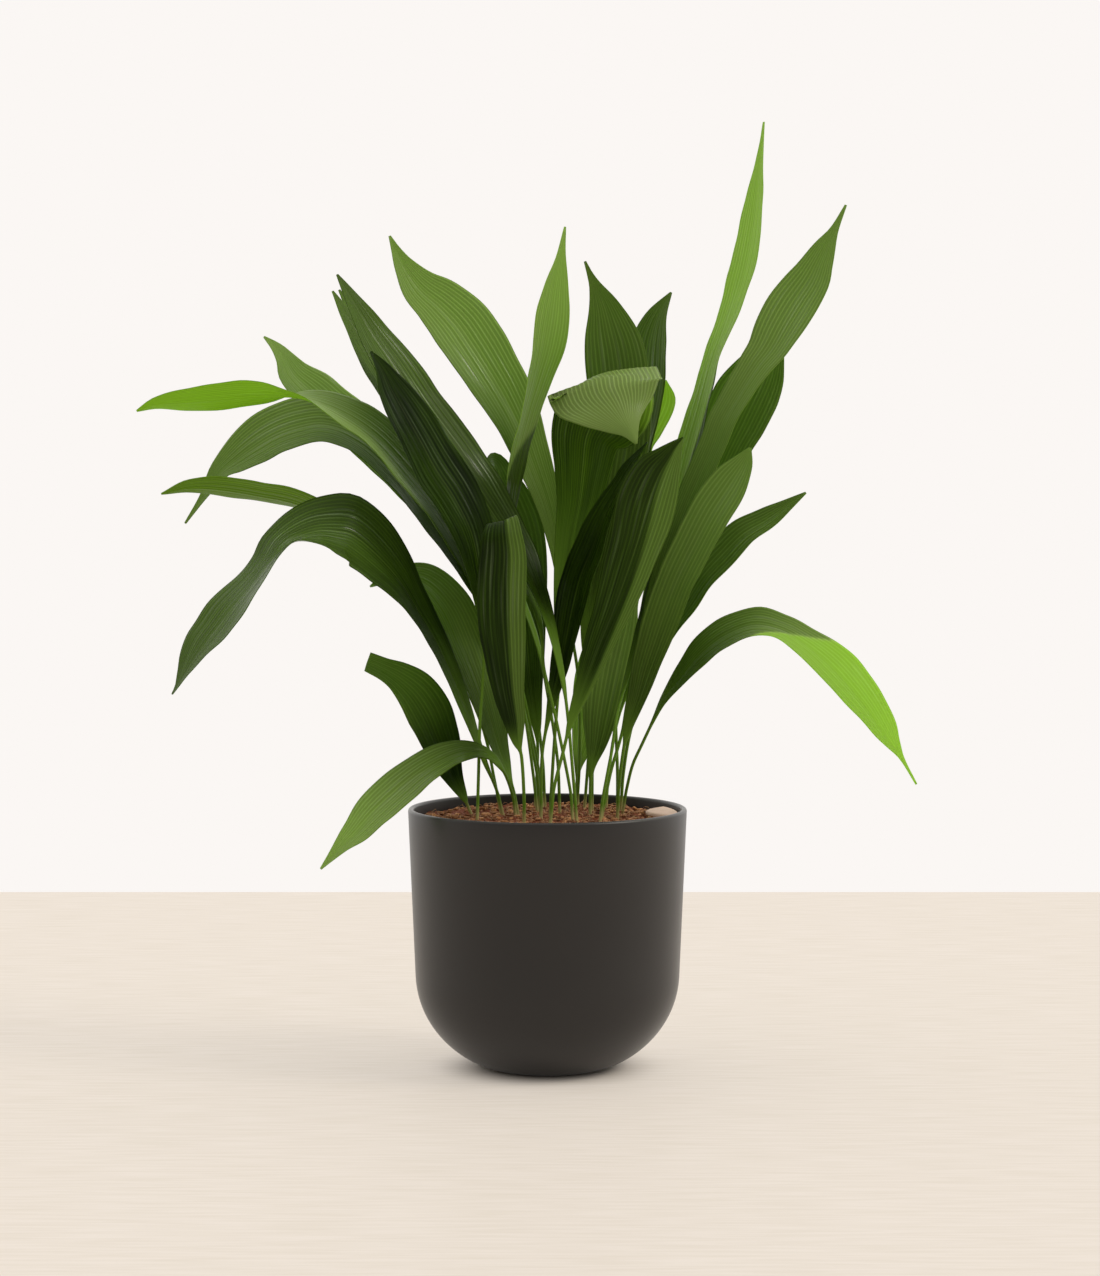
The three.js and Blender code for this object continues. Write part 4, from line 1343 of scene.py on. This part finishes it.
            (-174, -68, 165, 1, 50),
        ),
        PaintedLight.LIT_TIP,
    ),
    Leaf(  # short leaf at the back
        (25, 92),
        ((24, 94, 209),),
        (
            (25, 96, 227, 3, 0), (29, 97, 246, 9, 0), (35, 98, 270, 15, 0), (41, 99, 299, 19, 0),
            (48, 100, 328, 17, 0), (54, 101, 355, 10, 0), (58, 102, 373, 1, 0),
        ),
        PaintedLight.GLOWING,
    ),
    Leaf(  # short leaf right of the middle
        (34, 20),
        ((34, 21, 213),),
        (
            (35, 24, 234, 3, 0), (39, 29, 254, 9, -5), (42, 34, 275, 14, -8), (46, 40, 299, 17, -10),
            (51, 48, 323, 18, -12), (57, 54, 344, 16, -14), (64, 60, 362, 10, -15), (75, 64, 376, 1, -15),
        ),
        PaintedLight.PALE,
    ),
)


@dataclass
class Foliage:
    """All the leaves, each one skin from its buried stalk to its tip.

    Each of beats is how much faster a wave of the edges runs than the first one.
    """

    soil_level: float = 196.0
    stalk_half_width: float = 1.3
    stalk_half_depth: float = 1.2
    buried: float = 30.0
    clear_rise: float = 8.0
    half_thickness: float = 0.34
    edge_half_thickness: float = 0.26
    ridge: float = 1.1
    ridge_width: float = 1.2
    groove: float = 0.45
    channel_power: float = 1.5
    least_half_width: float = 0.25
    stalk_roundness: float = 0.97
    middle_pitch: float = 0.55
    open_at: float = 0.45
    pleat_mm: float = 6.2
    pleat_depth: float = 0.2
    ripple_mm: float = 62.0
    ripple: float = 0.4
    ripple_gain: float = 2.0
    beats: tuple[float, float, float] = (2.3, 1.13, 1.9)
    second_beat: float = 0.5
    edge_power: float = 3.0
    # Where the leaves' painted light rises from foot to tip, and how soft the edge of the painted glow is.
    light_from: float = 0.25
    light_over: float = 0.6
    glow_edge: float = 4.0
    relief_power: float = 1.5
    across_steps: int = 20
    along_steps: int = 118
    seed: int = 3
    leaves: tuple[Leaf, ...] = LEAVES

    def stations(self, leaf: Leaf) -> dict[str, np.ndarray]:
        """The leaf's stations, from the buried end of the stalk to the tip.

        Args:
            leaf: The leaf.

        Returns:
            point, across and half width, one row each.
        """
        first = leaf.blade[0]
        rows = [(*row, 0.0, *first[4:]) for row in leaf.stalk] + list(leaf.blade)
        middle = np.array([row[:3] for row in rows])
        root = np.array([*leaf.root, self.soil_level])
        rise = middle[0] - root
        rise /= np.linalg.norm(rise)
        points = np.concatenate([[root - self.buried * rise, root + self.clear_rise * rise], middle])
        along = np.gradient(points, axis=0)
        along[0] = along[1] = rise
        along[-1] = points[-1] - points[-2]
        along /= np.linalg.norm(along, axis=1)[:, None]
        rows = [rows[0], rows[0], *rows]
        across = np.array([self.width_direction(way, *row[4:]) for way, row in zip(along, rows)])
        widths = np.array([0.0, 0.0, *(row[3] for row in rows[2:])])
        return {"point": points, "across": across, "width": widths}

    @staticmethod
    def width_direction(along: np.ndarray, roll: float, heading: float | None = None) -> np.ndarray:
        """Unit vector across the blade, square to the way the midrib runs.

        Args:
            along: The way the midrib runs.
            roll: Degrees.
            heading: Degrees in the plane the viewer sees, or nothing.

        Returns:
            The direction.
        """
        if heading is None:
            level = np.cross((0, 1, 0), along)
        else:
            level = np.array([math.cos(math.radians(heading)), 0, math.sin(math.radians(heading))])
        level = level - level.dot(along) * along
        level /= np.linalg.norm(level)
        turned_level = np.cross(along, level)
        return math.cos(math.radians(roll)) * level + math.sin(math.radians(roll)) * turned_level

    def spine(self, leaf: Leaf) -> dict[str, np.ndarray]:
        """Even steps up the leaf, from the buried end of the stalk to the tip.

        Args:
            leaf: The leaf.

        Returns:
            at, point, across, outward and width, one row each; full, the width as a share of the widest; open,
            how far the blade has opened out of the stalk; ridge, the midrib's share; and widest.
        """
        rough = self.stations(leaf)
        reach = np.concatenate([[0], np.cumsum(np.linalg.norm(np.diff(rough["point"], axis=0), axis=1))])
        at = np.linspace(0, reach[-1], self.along_steps)
        point = smooth_through(reach, rough["point"], at)
        width = np.maximum(smooth_through(reach, rough["width"][:, None], at)[:, 0], self.least_half_width)
        widest = rough["width"].max()
        below = at < reach[int(np.argmax(rough["width"]))]
        width = np.where(below, np.maximum(width, self.stalk_half_width), width)
        along = np.gradient(point, axis=0)
        along /= np.linalg.norm(along, axis=1)[:, None]
        across = smooth_through(reach, rough["across"], at)
        across -= (across * along).sum(1)[:, None] * along
        across /= np.linalg.norm(across, axis=1)[:, None]
        opening = (width - self.stalk_half_width) / (self.open_at * widest - self.stalk_half_width)
        return {
            "at": at,
            "point": point,
            "across": across,
            "outward": np.cross(across, along),
            "width": width,
            "full": width / widest,
            "open": np.where(below, smooth_step(opening), 1.0),
            "ridge": np.where(below, 1.0, width / widest),
            "widest": widest,
        }

    def section(
        self, leaf: Leaf, spine: dict[str, np.ndarray], stops: np.ndarray, phase: np.ndarray
    ) -> tuple[np.ndarray, np.ndarray]:
        """Heights of the leaf's two faces over the line of its width: channel, pleats, rippled edges, midrib.

        Args:
            leaf: The leaf.
            spine: Its steps.
            stops: Places across, from -1 to 1.
            phase: Where the edges' waves begin.

        Returns:
            The upper face's and the underside's heights, a row for each step.
        """
        at, width, open_share = spine["at"], spine["width"], spine["open"]
        outer = np.abs(stops)[None, :]
        lift = (open_share * leaf.channel * width)[:, None] * (outer**self.channel_power - 1)
        pleat_rise = self.pleat_depth * open_share * spine["full"]
        pleats = pleat_rise[:, None] * np.cos(2 * math.pi * stops[None, :] * spine["widest"] / self.pleat_mm)
        ripple = self.ripple * open_share * np.minimum(1, self.ripple_gain * spine["full"])
        beat = 2 * math.pi * at / self.ripple_mm
        fast, slow, middling = self.beats
        left = np.sin(beat + phase[0]) + self.second_beat * np.sin(fast * beat + phase[1])
        right = np.sin(slow * beat + phase[2]) + self.second_beat * np.sin(middling * beat + phase[0])
        edge = np.where(stops[None, :] < 0, left[:, None], right[:, None]) * outer**self.edge_power
        middle = lift + pleats + ripple[:, None] * edge
        stalk = self.stalk_half_depth * np.sqrt(np.clip(1 - self.stalk_roundness * outer**2, 0, 1))
        flat = self.half_thickness + (self.edge_half_thickness - self.half_thickness) * outer
        half = stalk + (flat - stalk) * open_share[:, None]
        span = stops[None, :] * width[:, None]
        rib = np.exp(-((span / self.ridge_width) ** 2)) * (spine["ridge"] * open_share)[:, None]
        return middle + half - self.groove * rib, middle - half - self.ridge * rib

    def traits(
        self, leaf: Leaf, spine: dict[str, np.ndarray], stops: np.ndarray, own_number: float
    ) -> dict[str, np.ndarray]:
        """What the finish reads at each corner of the skin.

        Args:
            leaf: The leaf.
            spine: Its steps.
            stops: Places across, from -1 to 1.
            own_number: The leaf's own number, from 0 to 1.

        Returns:
            Name to rows of three numbers.
        """
        at = spine["at"]
        side = np.concatenate([stops, stops[::-1]])[None, :]
        shape = (len(at), side.shape[1])
        upper = np.repeat([1.0, 0.0], len(stops))[None, :]
        share = np.clip((at - self.buried) / (at[-1] - self.buried), 0, 1)
        # Painted light and shade: the colour is shaded at the leaf's foot and lit towards its tip.
        start, end = leaf.light.value
        # Painted light from behind, lighter on one side of a slanted line over the leaf.
        aside, onward, offset, most = leaf.glow
        plain = start + (end - start) * smooth_step((share - self.light_from) / self.light_over)
        painted_backlight = smooth_step(self.glow_edge * (aside * side + onward * share[:, None] + offset))
        lit = plain[:, None] + most * painted_backlight
        full = np.minimum(1, spine["full"])[:, None] ** self.relief_power
        rows = {
            "blade_mm": (side * spine["widest"], (at - self.buried)[:, None], upper),
            "painted_light_stalk_number": (lit, (1 - spine["open"])[:, None], own_number),
            "blade_share": (full, full, full),
        }
        return {
            name: np.stack([np.broadcast_to(part, shape) for part in parts], 2).reshape(-1, 3)
            for name, parts in rows.items()
        }

    def grow(self, number: int, leaf: Leaf, material: Material) -> None:
        """Grows one leaf.

        Args:
            number: The leaf's number.
            leaf: Its shape.
            material: The finish.
        """
        chance = np.random.default_rng(self.seed * 100 + number)
        phase = chance.uniform(0, 2 * math.pi, 3)
        own_number = chance.random()
        fine = np.linspace(-1, 1, 2 * self.across_steps + 1)
        stops = fine * (self.middle_pitch + (1 - self.middle_pitch) * np.abs(fine))
        spine = self.spine(leaf)
        span = stops[None, :] * spine["width"][:, None]
        base = spine["point"][:, None, :] + span[:, :, None] * spine["across"][:, None, :]
        upper, under = (
            base + rise[:, :, None] * spine["outward"][:, None, :]
            for rise in self.section(leaf, spine, stops, phase)
        )
        rings = np.concatenate([upper, under[:, ::-1]], 1)
        piece = make_piece(
            f"ribbed_leaf_{number:02d}",
            rings.reshape(-1, 3),
            tube_faces(len(rings), rings.shape[1]),
            material,
            self.traits(leaf, spine, stops, own_number),
        )
        own(piece, "leaf_green", f"leaf_{number:02d}")

    def build(self, material: Material) -> None:
        """Grows every leaf.

        Args:
            material: The finish.
        """
        for number, leaf in enumerate(self.leaves, 1):
            self.grow(number, leaf, material)


def smooth_step(share: np.ndarray) -> np.ndarray:
    """Eases a share from 0 to 1, held inside those limits."""
    held = np.clip(share, 0, 1)
    return held * held * (3 - 2 * held)


def smooth_through(reach: np.ndarray, rows: np.ndarray, at: np.ndarray) -> np.ndarray:
    """Runs a smooth curve through rows of numbers.

    Args:
        reach: Where each row is.
        rows: The numbers.
        at: Where to read the curve.

    Returns:
        One row for each place in at.
    """
    slope = np.zeros_like(rows)
    slope[1:-1] = (rows[2:] - rows[:-2]) / (reach[2:] - reach[:-2])[:, None]
    slope[0] = (rows[1] - rows[0]) / (reach[1] - reach[0])
    slope[-1] = (rows[-1] - rows[-2]) / (reach[-1] - reach[-2])
    cell = np.clip(np.searchsorted(reach, at, "right") - 1, 0, len(reach) - 2)
    size = (reach[cell + 1] - reach[cell])[:, None]
    t = ((at - reach[cell])[:, None]) / size
    return (
        (2 * t**3 - 3 * t**2 + 1) * rows[cell]
        + (t**3 - 2 * t**2 + t) * size * slope[cell]
        + (3 * t**2 - 2 * t**3) * rows[cell + 1]
        + (t**3 - t**2) * size * slope[cell + 1]
    )


def tube_faces(steps: int, count: int) -> Faces:
    """Faces of a skin over a row of closed rings, with both ends closed by quads between its two faces.

    Args:
        steps: Number of rings.
        count: Corners in a ring, the upper face's first and then the underside's.

    Returns:
        The faces.
    """
    ring, corner = np.meshgrid(np.arange(steps - 1), np.arange(count), indexing="ij")
    ahead = (corner + 1) % count
    low, high = ring * count, (ring + 1) * count
    sides = np.stack([low + corner, low + ahead, high + ahead, high + corner], 2)
    faces = [tuple(face) for face in sides.reshape(-1, 4).tolist()]
    last = (steps - 1) * count
    for i in range(count // 2 - 1):
        faces.append((i, count - 1 - i, count - 2 - i, i + 1))
        faces.append((last + i, last + i + 1, last + count - 2 - i, last + count - 1 - i))
    return faces


@dataclass
class Studio:
    """Pale floor, an even pale room, soft light from behind, above and the right, and the camera."""

    floor: str = "#d3cac0"
    floor_grain: str = "#c2b8a8"
    wall: str = "#fbf7f4"
    floor_roughness: float = 0.6
    floor_specular: float = 0.3
    # The floor partly glows, painted light that lifts its shadows, and the glow fades out under the pot, a
    # painted contact shadow.
    floor_glow: float = 1.32
    glow_share: float = 0.55
    painted_contact_shadow_mm: tuple[float, float] = (45.0, 100.0)
    grain_mm: float = 5.0
    grain_stretch: float = 12.0
    grain_spread: tuple[float, float] = (1.1, -0.4)
    floor_reach: float = 9000.0
    wall_line: float = 997.0
    room_radius: float = 14000.0
    room_foot: float = -2000.0
    room_sides: int = 64
    camera_at: tuple[float, float, float] = (2.0, -2367.0, 465.0)
    camera_pitch: float = 3.05
    bright_side: tuple[float, float, float] = (0.1, 0.8, 0.6)
    sky: str = "#fffcf8"
    sky_from: tuple[float, float] = (-0.7, 0.8)
    sky_levels: tuple[float, float] = (0.36, 1.4)
    sun_tint: str = "#fff8ec"
    sun_side: tuple[float, float, float] = (0.85, -0.22, 0.75)
    sun_strength: float = 1.1
    sun_width: float = 22.0
    lens: float = 85.0
    sensor: float = 36.0

    def lay_floor(self) -> None:
        """Lays the floor, pale boards up to the foot of the wall and the wall's own white beyond."""
        material, tree = new_tree("pale_floor")
        place = add_node(tree, "ShaderNodeTexCoord")
        split = add_node(tree, "ShaderNodeSeparateXYZ", None, {0: place.outputs["Object"]})
        a_grain = 1 / (self.grain_mm * MM)
        across = add_node(tree, "ShaderNodeMath", TIMES, {0: split.outputs[0], 1: a_grain / self.grain_stretch})
        deep = add_node(tree, "ShaderNodeMath", TIMES, {0: split.outputs[1], 1: a_grain})
        at = add_node(tree, "ShaderNodeCombineXYZ", None, {0: across, 1: deep})
        grain = add_node(tree, "ShaderNodeTexNoise", None, {"Vector": at, "Scale": 1.0, "Detail": 3.0})
        gain, shift = self.grain_spread
        tint = add_node(tree, "ShaderNodeMath", TIMES_PLUS, {0: grain.outputs["Fac"], 1: gain, 2: shift})
        boards = add_node(
            tree, "ShaderNodeMix", COLOURS, {0: tint, 6: linear(self.floor), 7: linear(self.floor_grain)}
        ).outputs[2]
        behind = add_node(
            tree, "ShaderNodeMath", {"operation": "GREATER_THAN"}, {0: split.outputs[1], 1: self.wall_line * MM}
        )
        oak = add_node(
            tree,
            "ShaderNodeBsdfPrincipled",
            None,
            {
                "Base Color": boards,
                "Roughness": self.floor_roughness,
                "Specular IOR Level": self.floor_specular,
            },
        )
        # Painted light: part of the floor glows in its own colour, which lightens its shadows.
        painted_fill_glow = add_node(tree, "ShaderNodeEmission", None, {"Color": boards, "Strength": self.floor_glow})
        away = add_node(tree, "ShaderNodeVectorMath", {"operation": "LENGTH"}, {0: place.outputs["Object"]})
        # Painted shadow: the glow fades out under the pot's foot.
        under, clear = (reach * MM for reach in self.painted_contact_shadow_mm)
        share = add_node(
            tree,
            "ShaderNodeMapRange",
            EASED,
            {"Value": away.outputs["Value"], "From Min": under, "From Max": clear, "To Max": self.glow_share},
        )
        lit_oak = add_node(tree, "ShaderNodeMixShader", None, {0: share, 1: oak, 2: painted_fill_glow})
        plaster = add_node(tree, "ShaderNodeEmission", None, {"Color": linear(self.wall)})
        surface = add_node(tree, "ShaderNodeMixShader", None, {0: behind, 1: lit_oak, 2: plaster})
        add_node(tree, "ShaderNodeOutputMaterial", None, {"Surface": surface})
        reach = self.floor_reach
        corners = np.array([(-reach, -reach, 0), (reach, -reach, 0), (reach, reach, 0), (-reach, reach, 0)])
        make_piece("floor", corners, [(0, 1, 2, 3)], material)

    def raise_room(self) -> None:
        """Raises the round pale wall far off, which the camera alone sees and which casts no light or shade."""
        material, tree = new_tree("pale_wall")
        shine = add_node(tree, "ShaderNodeEmission", None, {"Color": linear(self.wall), "Strength": 1.0})
        add_node(tree, "ShaderNodeOutputMaterial", None, {"Surface": shine})
        sides = self.room_sides
        turn = np.linspace(0, 2 * math.pi, sides, endpoint=False)
        ring = self.room_radius * np.stack([np.cos(turn), np.sin(turn)], 1)
        low = np.column_stack([ring, np.full(sides, self.room_foot)])
        high = np.column_stack([ring, np.full(sides, self.room_radius)])
        faces = [(i, sides + i, sides + (i + 1) % sides, (i + 1) % sides) for i in range(sides)]
        room = make_piece("room", np.concatenate([low, high]), faces, material)
        for kind in ("diffuse", "glossy", "transmission", "shadow", "volume_scatter"):
            setattr(room, f"visible_{kind}", False)

    def light(self) -> None:
        """Lights the room: a bright back, a dim front, and a broad soft sun from the right."""
        world = bpy.data.worlds.new("soft_studio")
        bpy.context.scene.world = world
        world.use_nodes = True
        tree = world.node_tree
        tree.nodes.clear()
        place = add_node(tree, "ShaderNodeTexCoord")
        towards = add_node(
            tree,
            "ShaderNodeVectorMath",
            {"operation": "DOT_PRODUCT"},
            {0: place.outputs["Generated"], 1: self.bright_side},
        )
        (first, last), (dim, bright) = self.sky_from, self.sky_levels
        level = add_node(
            tree,
            "ShaderNodeMapRange",
            EASED,
            {
                "Value": towards.outputs["Value"],
                "From Min": first,
                "From Max": last,
                "To Min": dim,
                "To Max": bright,
            },
        )
        sky = add_node(tree, "ShaderNodeBackground", None, {"Color": linear(self.sky), "Strength": level})
        add_node(tree, "ShaderNodeOutputWorld", None, {"Surface": sky})
        lamp = bpy.data.lights.new("window", "SUN")
        lamp.energy = self.sun_strength
        lamp.angle = math.radians(self.sun_width)
        lamp.color = linear(self.sun_tint)[:3]
        holder = bpy.data.objects.new("window", lamp)
        x, y, z = self.sun_side
        holder.rotation_euler = (math.atan2(math.hypot(x, y), z), 0, math.atan2(y, x) + math.pi / 2)
        bpy.context.scene.collection.objects.link(holder)

    def place_camera(self) -> None:
        """Places the camera at the photograph's viewing angle."""
        camera = bpy.data.cameras.new("photo_camera")
        camera.lens = self.lens
        camera.sensor_width = self.sensor
        camera.sensor_fit = "AUTO"
        camera.clip_end = 100
        holder = bpy.data.objects.new("photo_camera", camera)
        holder.location = [value * MM for value in self.camera_at]
        holder.rotation_euler = (math.radians(90 - self.camera_pitch), 0, 0)
        bpy.context.scene.collection.objects.link(holder)
        bpy.context.scene.camera = holder

    def build(self) -> None:
        """Sets up the studio."""
        bpy.context.scene.view_settings.view_transform = "Standard"
        self.place_camera()
        self.lay_floor()
        self.raise_room()
        self.light()


def main() -> None:
    """Builds the pot, the soil, the leaves and the studio."""
    logging.basicConfig(level=logging.INFO, format="%(name)s: %(message)s")
    pot = Pot()
    pot.build(MouldedCharcoal().build())
    soil = Soil(pot)
    soil.build(
        LooseFibre("coir_pith", "#381205", "#984a18", 1.6, 0.5).build(),
        LooseFibre("shredded_bark", "#47200d", "#c48a58", 2.2, 0.4).build(),
        LooseFibre("coir_fibre", "#6b3d20", "#c79d74", 1.0, 0.05).build(),
    )
    PaleChip(soil).build(LooseFibre("pale_bark", "#b08e78", "#d8bba6", 6.0, 0.25, roughness=0.7).build())
    Foliage().build(CutinBlade().build())
    Studio().build()


if __name__ == "__main__":
    main()
